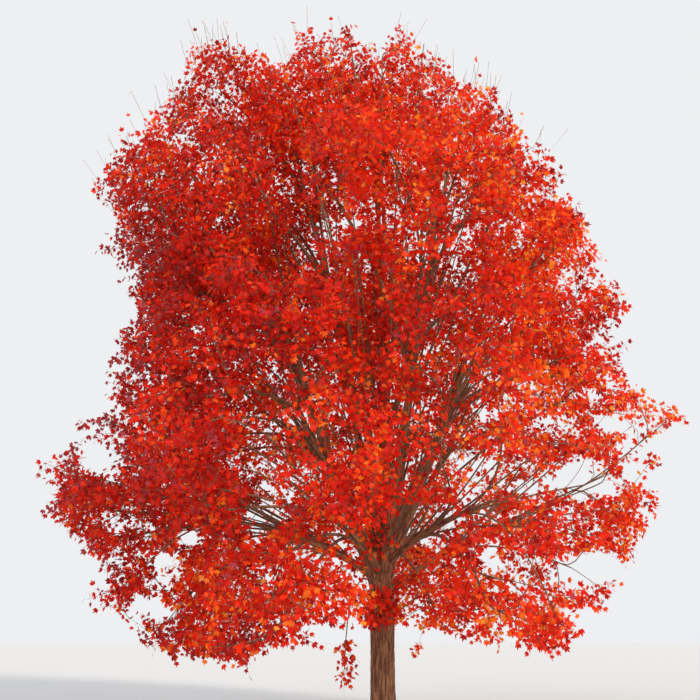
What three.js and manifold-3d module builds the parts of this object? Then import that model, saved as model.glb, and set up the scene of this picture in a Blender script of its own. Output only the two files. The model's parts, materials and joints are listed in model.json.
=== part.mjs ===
// A freeman maple in full autumn colour: a trunk that forks low, boughs that fan out from the fork,
// and masses of foliage that each grow from one stem. Millimetres and degrees, +Z up. The origin is
// the middle of the flat cut at the ground. The broad side faces -Y, with +X on its right.
import * as THREE from "three";
import { mergeVertices } from "three/addons/utils/BufferGeometryUtils.js";
import Module from "manifold-3d";

const wasm = await Module();
wasm.setup();

// Driving dimensions

const SEAM = 0.3; // clear between two pieces that meet
const WELD = 1e-3; // vertices nearer than this are one
const FLATNESS = 0.5; // how far a fused surface may move where it loses small faces

const TRUNK = {
  sides: 14,
  rings: [
    // height and radius: the root flare, the bole, the swelling at the fork, then the leader
    [0, 285], [80, 246], [240, 208], [600, 188], [1250, 181], [1850, 188], [2150, 180],
    [2550, 138], [3000, 108], [4400, 84], [6200, 58], [8500, 36],
  ],
  flare: { lobes: 5, depth: 0.13, fade: 200 }, // buttresses that die away upwards
  sway: { from: 3000, amount: 75, waves: 5 }, // the leader's swing above the fork
};

// Rings of boughs, each bough named by the ring and its number. It leaves the leader or its parent
// at a height, one step higher than the bough before it, and ends at a reach and a height. The bow
// is where its curve is pulled to, as shares of its way out and up.
const BOUGHS = {
  stem: {
    turns: [200, 290, 20, 110], from: 2040, step: 130, reach: 1650, height: 6200,
    radii: [112, 46], bow: [0.42, 0.36], sides: 8, masses: ["upper"],
  },
  low_bough: {
    turns: [12, 74, 134, 192, 246, 302], from: 1980, step: 95, reach: 1950, height: 3100,
    radii: [62, 36], bow: [0.4, 0.62], sides: 7, masses: ["low", "skirt"],
  },
  middle_bough: {
    turns: [228, 304, 46, 138], from: 3050, step: 60, reach: 2000, height: 4850,
    radii: [52, 36], bow: [0.45, 0.42], sides: 7, masses: ["middle"], parent: "stem",
  },
  high_bough: {
    turns: [164, 340], from: 3850, step: 650, reach: 1050, height: 7900,
    radii: [56, 34], bow: [0.5, 0.35], sides: 7, masses: ["high"],
  },
};
const BOUGH_RINGS = 5;
const BOUGH_TAPER = 0.8; // under 1 thins the foot of a bough faster than its end

// Tiers of foliage. A bough carries one mass for each spread, turned that far from the bough. Each
// head lies this far to the left, to the right, and in front or behind. Its height is one amount on
// the left and another on the right, less the droop in front and behind.
const TIERS = {
  skirt: {
    spread: [0], left: 4650, right: 4300, depth: 3750, height: [1850, 3000], droop: 1150, girth: 1300,
  },
  low: {
    spread: [-15, 15], left: 5650, right: 5100, depth: 4800, height: [3950, 5100], droop: 0, girth: 1400,
  },
  middle: {
    spread: [-22, 22], left: 4750, right: 4200, depth: 4400, height: [5350, 6600], droop: 0, girth: 1550,
  },
  upper: {
    spread: [-22, 22], left: 5000, right: 3600, depth: 3950, height: [9400, 8350], droop: 0, girth: 1700,
  },
  high: {
    spread: [-34, 34], left: 3600, right: 1950, depth: 2400, height: [11900, 10600], droop: 600, girth: 1500,
  },
  top: {
    spread: [90, 215, 335], left: 1300, right: 950, depth: 1100, height: [12050, 12150], droop: 0,
    girth: 1250,
  },
};
const HEAD_JITTER = { seed: 2070, reach: 0.04, height: 150 };
const MASS_STEM = {
  offset: 0.55, share: 0.42, // of the radius that it starts on: how far off its middle, and how thick
  tip: 12, // radius at its end
  pull: 0.38, reach: 0.72, // of the way to the head: how far it keeps its bough's heading, and ends
  sides: 3, rings: 3,
};

// Two small growths on the trunk itself: a tuft of short shoots at the fork, and one that hangs.
const SHOOTS = {
  fork_tuft: {
    turn: 262, from: 1980, out: 620, drop: 1760, crest: 60, space: 0.3, girth: 380, blade: 300, most: 11,
  },
  hanging_shoot: {
    turn: 226, from: 2160, out: 850, drop: 560, crest: 620, space: 0.55, girth: 190, blade: 260, most: 7,
  },
};
const SHOOT_RADII = [14, 9];

const BLADE = {
  length: 1000, // each blade stands for a spray of real leaves
  shares: [1, 0.88, 0.76, 0.64], // of the length, tried in turn until the blade fits its space
  spacing: [0.9, 0.6], // of its length to the next, at the toe of its mass and at the head
  behind: 0.42, // share of the length that lies behind the point it fills
  neck: 0.0095, // of the length: the radius of the three-sided neck, where a blade is thickest
  fold: 45, // most that a blade folds up or down from its twig
  lift: { out: 0.8, up: 0.65, wild: 1.2 }, // which way the blades face
  // Half of the rim, as angle and share of the length, seen from the neck: a tip and a side lobe
  rim: [[70, 0.5], [34, 0.46], [0, 1]],
};
// A twig's foot is this share of the wood that it grows on, so that it stays inside it
const TWIG = { sides: 3, onStem: 0.5, onTwig: 0.46, thinnest: 4.5, orders: 2, shortest: 150 };
const SCATTERED = { perCubicMetre: 9, least: 60, seedStep: 13 }; // points tried in a mass's box
const STUB = 1; // the twig that a blade keeps while its clearance is measured
const OWN_MARGIN = 0.03; // how much nearer a point lies to its own mass than to the next
const CLEARANCE = 30; // least distance from a twig or blade to a limb or another mass
// What makes a place on the wood dear as a root: a sharp bend, and a long way back to the bough. The
// point has to lie at least this far ahead, as a cosine.
const ROOT_COST = { bend: 0.4, trail: 0.22, ahead: 0.12 };
// Bare whips that stand up out of the crown: how many for each mass, and how they lean
const WHIPS = { upper: 1, high: 2, top: 3 };
const WHIP = { length: [1100, 1500], tip: 4, lean: 0.3, along: 0.3 };

const COLOURS = { bark: 0x6f5848, crimson: 0xa81218, scarlet: 0xd42a12, flame: 0xe8480f };
// A mass with its head left of the first is crimson, and right or in front of the others flame
const TINT_BOUNDS = { left: -1700, right: 1300, front: -2000 };

// Small helpers

const UP = new THREE.Vector3(0, 0, 1);
const mix = THREE.MathUtils.lerp;
const radians = THREE.MathUtils.degToRad;

// A point this far out from the origin's axis, turned this far from +X, at a height
function around(out, turn, height) {
  return new THREE.Vector3(out * Math.cos(radians(turn)), out * Math.sin(radians(turn)), height);
}

// Repeatable numbers from 0 to 1
function seeded(seed) {
  let state = seed >>> 0;
  return () => {
    state = (state + 0x6d2b79f5) >>> 0;
    let t = Math.imul(state ^ (state >>> 15), state | 1);
    t ^= t + Math.imul(t ^ (t >>> 7), t | 61);
    return ((t ^ (t >>> 14)) >>> 0) / 4294967296;
  };
}

// The nth point of an even scatter in a unit cube, where each next point falls in a wide gap
const SCATTER_ROOT = 1.2207440846057596;
const SCATTER_STEPS = [1, 2, 3].map((power) => 1 / SCATTER_ROOT ** power);
const scatter = (n) => SCATTER_STEPS.map((step) => (0.5 + n * step) % 1);

function pointAtHeight(path, height) {
  let [low, high] = [0, 1];
  while (high - low > 1e-6) {
    const half = (low + high) / 2;
    if (path.getPointAt(half).z < height) low = half;
    else high = half;
  }
  return path.getPointAt(low);
}

// Solids

function solidOf(geometry) {
  const bare = geometry.clone().deleteAttribute("normal").deleteAttribute("uv");
  const { attributes, index } = mergeVertices(bare, WELD);
  const vertProperties = new Float32Array(attributes.position.array);
  const triVerts = new Uint32Array(index.array);
  return new wasm.Manifold(new wasm.Mesh({ numProp: 3, vertProperties, triVerts }));
}

// The largest piece of a solid: loose scraps go, and so do hollows that fusing has sealed
function soundPiece(solid, flatness = FLATNESS) {
  return solid.simplify(flatness).decompose().reduce((a, b) => (b.volume() > a.volume() ? b : a));
}

// A solid with others cut out of it, so little smoothed that it stays clear of them
function cutClear(solid, others) {
  return soundPiece(wasm.Manifold.difference([solid, ...others]), SEAM / 3);
}

// A cylinder with each vertex moved to place(share of its length, angle round it, share of its radius)
function shapedCylinder(sides, rings, place) {
  const cylinder = new THREE.CylinderGeometry(1, 1, 1, sides, rings);
  const { position } = cylinder.attributes;
  for (let i = 0; i < position.count; i++) {
    const [x, y, z] = [position.getX(i), position.getY(i), position.getZ(i)];
    const placed = place(y + 0.5, Math.atan2(-z, x), Math.hypot(x, z));
    position.setXYZ(i, placed.x, placed.y, placed.z);
  }
  return solidOf(cylinder);
}

// A limb that tapers along a path
function limbSolid(path, radiusAt, sides, rings, grown = 0) {
  const frames = path.computeFrenetFrames(rings, false);
  return shapedCylinder(sides, rings, (share, angle, spoke) => {
    const ring = Math.round(share * rings);
    const radius = spoke * (radiusAt(share) + grown);
    return path.getPointAt(share)
      .addScaledVector(frames.normals[ring], radius * Math.cos(angle))
      .addScaledVector(frames.binormals[ring], radius * Math.sin(angle));
  });
}

function twigSolid(from, to, foot, tip) {
  const path = new THREE.LineCurve3(from, to);
  return limbSolid(path, (share) => mix(foot, tip, share), TWIG.sides, 1);
}

// The trunk keeps its rings level, from the flat cut at the ground to the leader's tip
const [trunkTop, leaderRadius] = TRUNK.rings.at(-1);
function trunkAxis(height) {
  const { from, amount, waves } = TRUNK.sway;
  const swing = (waves * Math.max(0, height - from)) / trunkTop;
  return new THREE.Vector3(amount * Math.sin(swing), amount * (1 - Math.cos(swing)), height);
}
function trunkSolid(grown = 0) {
  const { sides, rings, flare } = TRUNK;
  return shapedCylinder(sides, rings.length - 1, (share, angle, spoke) => {
    const [height, radius] = rings[Math.round(share * (rings.length - 1))];
    const buttress = flare.depth * Math.cos(flare.lobes * angle) * Math.exp(-height / flare.fade);
    const out = spoke * (radius * (1 + buttress) + grown);
    return trunkAxis(height).add(around(out, THREE.MathUtils.radToDeg(angle), 0));
  });
}

// The rim of a blade from its right to its left, round its neck
function rimPoints({ neck, forward, side, length }) {
  const right = BLADE.rim.slice(0, -1).map(([turn, share]) => [-turn, share]);
  const left = BLADE.rim.slice().reverse();
  return [...right, ...left].map(([turn, share]) => {
    const { x, y } = around(share * length, turn, 0);
    return neck.clone().addScaledVector(forward, x).addScaledVector(side, y);
  });
}

// A three-sided twig that runs on into a blade like a three-lobed leaf, thickest at its neck
function spraySolid(from, girth, blade) {
  const { neck, top, side, forward, length, neckRadius } = blade;
  const corners = (centre, radius) => [[side, 1], [top, 0], [side, -1]].map(([way, sign]) => (
    centre.clone()
      .addScaledVector(top, sign ? -radius / 2 : radius)
      .addScaledVector(way, sign * radius * Math.sin(Math.PI / 3))
  ));
  const foot = corners(from, girth);
  const end = corners(neck, neckRadius);
  const rim = rimPoints(blade);
  const points = [...foot, ...end, ...rim];
  const [right, ridge, left] = [5, 4, 3];
  const edge = [right, ...rim.map((_, i) => i + 6), left];
  const flat = edge.map((i) => new THREE.Vector2(
    points[i].clone().sub(neck).dot(forward) / length,
    points[i].clone().sub(neck).dot(side) / length,
  ));
  const below = THREE.ShapeUtils.triangulateShape(flat, []).map(([a, b, c]) => [edge[a], edge[c], edge[b]]);
  const above = edge.slice(1).map((corner, i) => [ridge, edge[i], corner]);
  const sides = [0, 1, 2].flatMap((a) => {
    const b = (a + 1) % 3;
    return [[a, b, b + 3], [a, b + 3, a + 3]];
  });
  const geometry = new THREE.BufferGeometry().setFromPoints(points);
  geometry.setIndex([[0, 2, 1], ...sides, ...above, ...below].flat());
  return solidOf(geometry);
}

// Boughs

function bowedPath(foot, tip, [out, up]) {
  const pull = foot.clone().lerp(tip, out).setZ(mix(foot.z, tip.z, up));
  return new THREE.QuadraticBezierCurve3(foot, pull, tip);
}
function planBoughs() {
  const boughs = [];
  for (const [ring, plan] of Object.entries(BOUGHS)) {
    plan.turns.forEach((turn, i) => {
      const height = plan.from + plan.step * i;
      const parent = boughs.find(({ name }) => name === `${plan.parent}_${i + 1}`);
      const foot = parent ? pointAtHeight(parent.path, height) : trunkAxis(height);
      const path = bowedPath(foot, around(plan.reach, turn, plan.height), plan.bow);
      boughs.push({ name: `${ring}_${i + 1}`, turn, path, plan });
    });
  }
  return boughs;
}
function boughSolid({ path, plan }, grown = 0) {
  const radiusAt = (share) => mix(...plan.radii, share ** BOUGH_TAPER);
  return limbSolid(path, radiusAt, plan.sides, BOUGH_RINGS, grown);
}

// The masses' stems and spaces. A space is an egg from a toe to a head, as wide as its girth.

function withSpace(mass) {
  const axis = mass.head.clone().sub(mass.toe);
  const length = axis.length();
  axis.normalize();
  const across = new THREE.Vector3().crossVectors(UP, axis).normalize();
  const over = new THREE.Vector3().crossVectors(axis, across);
  return { ...mass, axis, length, across, over };
}
function headPoint(tier, turn, random) {
  const { x, y } = around(1, turn, 0);
  const stretch = 1 + HEAD_JITTER.reach * (random() * 2 - 1);
  const height = mix(...tier.height, (x + 1) / 2) - tier.droop * Math.abs(y);
  const rise = HEAD_JITTER.height * (random() * 2 - 1);
  const out = x < 0 ? tier.left : tier.right;
  return new THREE.Vector3(x * out * stretch, y * tier.depth * stretch, height + rise);
}
// The masses that share one tip. Their feet stand apart on it, each on the side that its head is.
function sharedTip(tip, heading, tipRadius, wanted) {
  const middle = new THREE.Vector3();
  wanted.forEach(({ head }) => middle.addScaledVector(head, 1 / wanted.length));
  return wanted.map(({ name, tierName, head }) => {
    const aside = head.clone().sub(middle);
    aside.addScaledVector(heading, -aside.dot(heading)).normalize();
    const foot = tip.clone()
      .addScaledVector(heading, SEAM)
      .addScaledVector(aside, tipRadius * MASS_STEM.offset);
    const pull = foot.clone().addScaledVector(heading, head.distanceTo(tip) * MASS_STEM.pull);
    const end = foot.clone().lerp(head, MASS_STEM.reach);
    const path = new THREE.QuadraticBezierCurve3(foot, pull, end);
    const radii = [tipRadius * MASS_STEM.share, MASS_STEM.tip];
    const { girth } = TIERS[tierName];
    const whips = WHIPS[tierName] ?? 0;
    const blade = BLADE.length;
    return withSpace({ name, path, radii, toe: foot, head, girth, blade, most: Infinity, whips });
  });
}
function planMasses(boughs) {
  const random = seeded(HEAD_JITTER.seed);
  const counts = {};
  const wanted = (tierName, turn) => TIERS[tierName].spread.map((spread) => {
    counts[tierName] = (counts[tierName] ?? 0) + 1;
    const head = headPoint(TIERS[tierName], turn + spread, random);
    return { name: `${tierName}_mass_${counts[tierName]}`, tierName, head };
  });
  const onBoughs = boughs.flatMap(({ turn, path, plan }) => sharedTip(
    path.getPointAt(1),
    path.getTangentAt(1),
    plan.radii[1],
    plan.masses.flatMap((tierName) => wanted(tierName, turn)),
  ));
  const onLeader = sharedTip(trunkAxis(trunkTop), UP, leaderRadius, wanted("top", 0));
  const onBole = Object.entries(SHOOTS).map(([name, { turn, from, out, drop, crest, space, ...rest }]) => {
    const head = around(out, turn, drop);
    const pull = around(out, turn, from + crest);
    const path = new THREE.QuadraticBezierCurve3(trunkAxis(from), pull, head);
    const toe = path.getPointAt(space);
    return withSpace({ name, path, radii: SHOOT_RADII, toe, head, whips: 0, ...rest });
  });
  return [...onBoughs, ...onLeader, ...onBole];
}

// 0 at the middle of the mass's space and 1 at its skin
function depthIn(mass, point) {
  const offset = point.clone().sub(mass.toe);
  const along = offset.dot(mass.axis);
  const aside = offset.lengthSq() - along * along;
  return ((2 * along) / mass.length - 1) ** 2 + aside / mass.girth ** 2;
}
function keepsTo(mass, masses, point) {
  const depth = depthIn(mass, point);
  return depth < 1 && masses.every((m) => m === mass || depth + OWN_MARGIN < depthIn(m, point));
}
function pointInSpace(mass, n) {
  const [s, u, v] = scatter(n);
  const point = mass.toe.clone()
    .addScaledVector(mass.axis, s * mass.length)
    .addScaledVector(mass.across, (u * 2 - 1) * mass.girth)
    .addScaledVector(mass.over, (v * 2 - 1) * mass.girth);
  return { point, share: s };
}

// Growth

// The place on a mass's wood that a twig to a point grows from: near it, and ahead of the growth
function rootFor(wood, point) {
  let root = null;
  let least = Infinity;
  for (const node of wood) {
    const way = point.clone().sub(node.point);
    const distance = way.length();
    const ahead = way.dot(node.heading) / distance;
    const cost = distance * (1 + ROOT_COST.bend * (1 - ahead)) + ROOT_COST.trail * node.trail;
    if (ahead > ROOT_COST.ahead && cost < least) {
      root = node;
      least = cost;
    }
  }
  return root;
}

// A blade on the end of a twig, as long as its space allows, or null. Its plane hinges on the neck,
// so that it faces outwards and up as far as its fold allows.
function fitBlade(mass, masses, root, point, random) {
  const growth = point.clone().sub(root.point).normalize();
  const { out, up, wild } = BLADE.lift;
  const turn = THREE.MathUtils.radToDeg(Math.atan2(point.y, point.x));
  for (const share of BLADE.shares) {
    const length = mass.blade * share;
    const neck = point.clone().addScaledVector(growth, -BLADE.behind * length);
    const face = around(out, turn, up);
    face.add(new THREE.Vector3(random() - 0.5, random() - 0.5, random() - 0.5).multiplyScalar(wild));
    const along = face.dot(growth);
    const top = face.clone().addScaledVector(growth, -along).normalize();
    const side = new THREE.Vector3().crossVectors(top, growth);
    const [most, wish] = [radians(BLADE.fold), Math.atan2(along, face.dot(top))];
    const fold = THREE.MathUtils.clamp(wish, -most, most);
    const forward = growth.clone().multiplyScalar(Math.cos(fold)).addScaledVector(top, -Math.sin(fold));
    const neckRadius = Math.max(BLADE.neck * length, TWIG.thinnest);
    const blade = { neck, growth, top, side, forward, length, neckRadius };
    const rim = [neck, ...rimPoints(blade)];
    const between = rim.map((corner, i) => corner.clone().lerp(rim[(i + 1) % rim.length], 0.5));
    const roomy = neck.clone().sub(root.point).dot(growth) > TWIG.shortest;
    if (roomy && [...rim, ...between].every((p) => keepsTo(mass, masses, p))) return blade;
  }
  return null;
}
const middleOf = ({ neck, forward, length }) => neck.clone().addScaledVector(forward, length / 2);

function stemSolid({ path, radii }) {
  return limbSolid(path, (share) => mix(...radii, share), MASS_STEM.sides, MASS_STEM.rings);
}

// Where twigs may start: the middle of each straight stretch of a mass's stem, and its end
function stemNodes({ path, radii, length }) {
  const node = (point, share) => ({
    point,
    heading: path.getTangentAt(share),
    trail: share * length,
    girth: mix(...radii, share) * TWIG.onStem,
    order: 1,
  });
  const rings = Array.from({ length: MASS_STEM.rings + 1 }, (_, i) => path.getPointAt(i / MASS_STEM.rings));
  const stretches = rings.slice(1).map((ring, i) => (
    node(ring.clone().lerp(rings[i], 0.5), (i + 0.5) / MASS_STEM.rings)
  ));
  return [...stretches, node(rings.at(-1), 1)];
}

// Just beyond a stem's end, where it carries a blade of its own
function stemEnd({ path, blade }) {
  const ahead = TWIG.shortest + BLADE.behind * blade + 1;
  return { point: path.getPointAt(1).addScaledVector(path.getTangentAt(1), ahead), share: 1 };
}

// One mass: its stem, straight twigs that branch from it and from each other, a blade on each twig's
// end, and bare whips above the crown
function growMass(mass, masses, others, seed) {
  const random = seeded(seed);
  const wood = stemNodes(mass);
  const grown = [stemSolid(mass)];
  const stubs = []; // the blades, on the shortest of twigs
  const middles = [];
  const clear = (solid, neighbours) => solid.minGap(neighbours, CLEARANCE) >= CLEARANCE;
  const boxVolume = (mass.length * (2 * mass.girth) ** 2) / 1e9;
  const tries = Math.max(SCATTERED.perCubicMetre * boxVolume, SCATTERED.least);
  for (let n = 0; n <= tries && stubs.length < mass.most; n++) {
    const { point, share } = n ? pointInSpace(mass, n + seed * SCATTERED.seedStep) : stemEnd(mass);
    const root = keepsTo(mass, masses, point) && (n ? rootFor(wood, point) : wood.at(-1));
    if (!root) continue;
    const blade = fitBlade(mass, masses, root, point, random);
    const spacing = mass.blade * mix(...BLADE.spacing, share);
    if (!blade || middles.some((m) => m.distanceTo(middleOf(blade)) < spacing)) continue;
    const { neck, growth, neckRadius } = blade;
    const stub = spraySolid(neck.clone().addScaledVector(growth, -STUB), neckRadius, blade);
    const twig = twigSolid(root.point, neck, root.girth, neckRadius);
    if (!clear(stub, others) || !clear(stub, wasm.Manifold.compose(grown))) continue;
    if (!clear(twig, others) || (stubs.length && !clear(twig, wasm.Manifold.compose(stubs)))) continue;
    grown.push(spraySolid(root.point, root.girth, blade));
    stubs.push(stub);
    middles.push(middleOf(blade));
    if (root.order === TWIG.orders) continue;
    const trail = root.trail + neck.distanceTo(root.point);
    const girth = Math.max(mix(root.girth, neckRadius, 0.5) * TWIG.onTwig, TWIG.thinnest);
    const half = root.point.clone().lerp(neck, 0.5);
    wood.push({ point: half, heading: growth, trail, girth, order: root.order + 1 });
  }
  for (const { point, girth } of stemNodes(mass).reverse().slice(0, mass.whips)) {
    const lean = around(WHIP.lean, random() * 360, 1).addScaledVector(mass.axis, WHIP.along).normalize();
    const tip = point.clone().addScaledVector(lean, mix(...WHIP.length, random()));
    const whip = twigSolid(point, tip, girth, WHIP.tip);
    const outside = masses.every((m) => m === mass || depthIn(m, tip) > 1);
    if (outside && clear(whip, others) && clear(whip, wasm.Manifold.compose(stubs))) grown.push(whip);
  }
  return soundPiece(wasm.Manifold.union(grown));
}

// The tree, piece by piece

const tree = new THREE.Group();
function addPiece(name, solid, foot, colour) {
  const { numVert, numProp, vertProperties, triVerts } = solid.getMesh();
  const positions = new Float32Array(numVert * 3);
  for (let i = 0; i < numVert; i++) {
    for (let k = 0; k < 3; k++) {
      positions[i * 3 + k] = vertProperties[i * numProp + k] - foot.getComponent(k);
    }
  }
  const geometry = new THREE.BufferGeometry()
    .setAttribute("position", new THREE.BufferAttribute(positions, 3))
    .setIndex(new THREE.BufferAttribute(triVerts, 1));
  geometry.computeVertexNormals();
  const finish = { color: colour, roughness: 0.75, metalness: 0 };
  const mesh = new THREE.Mesh(geometry, new THREE.MeshStandardMaterial(finish));
  mesh.name = name;
  mesh.position.copy(foot);
  tree.add(mesh);
}

const boughs = planBoughs();
const masses = planMasses(boughs);
const limbs = [trunkSolid()];
const seams = [trunkSolid(SEAM)]; // the limbs, grown by the seam that the next limbs keep
addPiece("trunk", limbs[0], new THREE.Vector3(), COLOURS.bark);
for (const bough of boughs) {
  const solid = cutClear(boughSolid(bough), seams);
  limbs.push(solid);
  seams.push(boughSolid(bough, SEAM));
  addPiece(bough.name, solid, bough.path.getPointAt(0), COLOURS.bark);
}

// The left side is deep crimson, and the right and the front take the sun
function tintOf({ head }) {
  if (head.x < TINT_BOUNDS.left) return "crimson";
  return head.x > TINT_BOUNDS.right || head.y < TINT_BOUNDS.front ? "flame" : "scarlet";
}
const grownMasses = [];
masses.forEach((mass, i) => {
  const waiting = masses.slice(i + 1).map(stemSolid);
  const onBole = mass.name in SHOOTS;
  const near = onBole ? grownMasses : [...limbs, ...grownMasses, ...waiting];
  const grown = growMass(mass, masses, wasm.Manifold.compose(near), i + 1);
  const solid = onBole ? cutClear(grown, seams) : grown;
  grownMasses.push(solid);
  addPiece(mass.name, solid, mass.path.getPointAt(0), COLOURS[tintOf(mass)]);
});

export default tree;
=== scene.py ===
"""A freeman maple in full autumn colour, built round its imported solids.

The trunk and the boughs get their bark. Each mass of foliage grows on from its bough by the same rule
as the solid does, carried on to fine twigs that bear sprays of leaves. Metres, +Z up.
"""

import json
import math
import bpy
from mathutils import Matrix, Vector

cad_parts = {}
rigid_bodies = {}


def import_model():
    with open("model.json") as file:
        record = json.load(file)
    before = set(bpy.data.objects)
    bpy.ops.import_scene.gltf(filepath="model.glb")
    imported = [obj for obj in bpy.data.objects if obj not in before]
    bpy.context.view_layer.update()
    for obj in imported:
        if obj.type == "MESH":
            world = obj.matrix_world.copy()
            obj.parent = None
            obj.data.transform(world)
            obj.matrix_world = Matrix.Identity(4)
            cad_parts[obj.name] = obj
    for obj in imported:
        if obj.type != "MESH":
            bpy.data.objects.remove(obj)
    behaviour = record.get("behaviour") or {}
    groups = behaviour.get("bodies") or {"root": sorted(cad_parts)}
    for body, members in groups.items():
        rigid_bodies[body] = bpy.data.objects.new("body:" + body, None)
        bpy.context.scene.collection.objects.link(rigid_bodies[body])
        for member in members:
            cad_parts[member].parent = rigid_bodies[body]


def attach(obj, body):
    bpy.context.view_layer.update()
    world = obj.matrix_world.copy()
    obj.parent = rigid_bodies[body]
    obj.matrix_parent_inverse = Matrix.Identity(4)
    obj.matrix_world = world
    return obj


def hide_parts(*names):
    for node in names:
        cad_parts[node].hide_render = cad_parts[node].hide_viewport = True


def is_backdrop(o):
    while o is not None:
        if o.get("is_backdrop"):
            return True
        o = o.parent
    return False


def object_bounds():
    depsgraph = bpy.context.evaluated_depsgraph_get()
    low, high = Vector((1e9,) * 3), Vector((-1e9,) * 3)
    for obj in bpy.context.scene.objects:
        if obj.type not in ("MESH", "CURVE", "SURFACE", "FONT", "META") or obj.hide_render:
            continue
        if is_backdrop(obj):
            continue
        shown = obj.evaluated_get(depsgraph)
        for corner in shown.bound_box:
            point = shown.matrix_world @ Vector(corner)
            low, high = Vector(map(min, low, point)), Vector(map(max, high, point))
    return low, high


bl_info = {
    "name": "Autumn maple",
    "version": (1, 0, 0),
    "blender": (4, 5, 0),
    "location": "3D View > Sidebar > Maple",
    "description": "Bark, twigs and leaves for a freeman maple in autumn colour",
    "category": "Add Mesh",
}

from dataclasses import dataclass, field

import bmesh
import bpy
import numpy as np
from bpy.props import FloatProperty, FloatVectorProperty, IntProperty, PointerProperty
from mathutils import Vector, noise

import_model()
CAD_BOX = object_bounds()


def table(keys, *rows):
    """Settings by name: each row starts with its name and has one value for each key."""
    return {name: dict(zip(keys.split(), values)) for name, *values in rows}


# The tree's plan, the same as that of the solids

UP, ACROSS = np.array([0.0, 0.0, 1.0]), np.array([1.0, 0.0, 0.0])
STEEP = 0.9  # a heading with a rise above this is too close to upright to be crossed with it
TINY, WELD = 1e-9, 1e-6  # the least length to divide by, and the distance at which points become one
PATH_STEPS = 201  # the points at which a path's length is added up
TRUNK_RINGS = [
    (0, 0.285), (0.08, 0.246), (0.24, 0.208), (0.6, 0.188), (1.25, 0.181), (1.85, 0.188),
    (2.15, 0.18), (2.55, 0.138), (3.0, 0.108), (4.4, 0.084), (6.2, 0.058), (8.5, 0.036),
]
TRUNK_TOP, LEADER_RADIUS = TRUNK_RINGS[-1]
FLARE_LOBES, FLARE_DEPTH, FLARE_FADE = 5, 0.13, 0.2  # the root flare, and how soon it fades with height
SWAY_FROM, SWAY_AMOUNT, SWAY_WAVES = 3.0, 0.075, 5  # how the leader sways, and from what height on

# The rings of boughs: the turn of each, the height where the first starts and the step to the next, how
# far out and how high the tips are, the radii at both ends, the bow out and up, the masses that they bear
# and the ring that they grow on, if not on the trunk
BOUGHS = table(
    "turns start step reach height radii bow masses parent",
    ("stem", [200, 290, 20, 110], 2.04, 0.13, 1.65, 6.2, (0.112, 0.046), (0.42, 0.36), ["upper"], None),
    (
        "low_bough", [12, 74, 134, 192, 246, 302], 1.98, 0.095, 1.95, 3.1, (0.062, 0.036), (0.4, 0.62),
        ["low", "skirt"], None,
    ),
    (
        "middle_bough", [228, 304, 46, 138], 3.05, 0.06, 2.0, 4.85, (0.052, 0.036), (0.45, 0.42),
        ["middle"], "stem",
    ),
    ("high_bough", [164, 340], 3.85, 0.65, 1.05, 7.9, (0.056, 0.034), (0.5, 0.35), ["high"], None),
)
BOUGH_TAPER = 0.8  # below 1, a bough thins fastest near its foot

# The tiers of masses: how many degrees the heads of those on one tip turn from it, how far out they are on
# each side and in depth, their heights on the left and on the right, their droop to the front and back, and
# their girth
TIERS = table(
    "spread left right depth height droop girth",
    ("skirt", [0], 4.65, 4.3, 3.75, (1.85, 3.0), 1.15, 1.3),
    ("low", [-15, 15], 5.65, 5.1, 4.8, (3.95, 5.1), 0, 1.4),
    ("middle", [-22, 22], 4.75, 4.2, 4.4, (5.35, 6.6), 0, 1.55),
    ("upper", [-22, 22], 5.0, 3.6, 3.95, (9.4, 8.35), 0, 1.7),
    ("high", [-34, 34], 3.6, 1.95, 2.4, (11.9, 10.6), 0.6, 1.5),
    ("top", [90, 215, 335], 1.3, 0.95, 1.1, (12.05, 12.15), 0, 1.25),
)
HEAD_SEED, JITTER_REACH, JITTER_HEIGHT = 2070, 0.04, 0.15  # how far the heads stray from that

# A mass's stem: how far from the middle of the bough's tip it starts, as a share of that tip's radius, how
# far it keeps the heading, how much of the way to the head it runs, and its gap from the tip
STEM_OFFSET, STEM_PULL, STEM_REACH, SEAM = 0.55, 0.38, 0.72, 0.0003

# The shoots on the bole: the turn and height where each starts, how far out it hangs and down to what
# height, its crest above its foot, its bare part and its girth
SHOOTS = table(
    "turn start out drop crest space girth",
    ("fork_tuft", 262, 1.98, 0.62, 1.76, 0.06, 0.3, 0.38),
    ("hanging_shoot", 226, 2.16, 0.85, 0.56, 0.62, 0.55, 0.19),
)

# The even scatter of points in a mass's box, and how far it is moved on from mass to mass
SCATTER_ROOT = 1.2207440846057596
SCATTER_STEPS = np.array([SCATTER_ROOT**-power for power in (1, 2, 3)])
SEED_STEP = 13
OWN_MARGIN = 0.03  # how much deeper a spray has to be in its own mass than in any other

# What a bend, and the way back along the wood, add to the cost of a twig, and the least that it points ahead
BEND_COST, TRAIL_COST, LEAST_AHEAD = 0.4, 0.22, 0.12

# What the finer growth adds

MOST_ORDERS = 6  # twigs on twigs
SHORTEST_TWIG = 0.08
TWIG_NODES = (0.32, 0.55, 0.75, 0.92)  # shares of a twig where others may start
TWIG_PULL = 0.34  # how far a twig keeps the heading of its parent
TWIG_SAG = 0.07  # a twig dips by this share of its length before its end turns up
PIPE_POWER = 0.42  # how fast wood thickens with the sprays that it carries
SPRAY_GAP, SHOOT_GAP = 0.1245, 0.085  # least distances between the ends of two twigs
STEM_NODES, STEM_NODES_FROM = 9, 0.12  # places on a mass's stem where twigs may start, and the first
LIMB_NODES = np.linspace(0.5, 1, 9)  # the same places on a slim limb
LIMB_TRAIL = 0.4  # the part of a slim limb's length that counts as way already gone
SHOOT_SPRAYS = {"fork_tuft": 200, "hanging_shoot": 160}
RING_SHARES = np.linspace(0, 1, 13)  # where along a twig its radius is worked out

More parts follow.
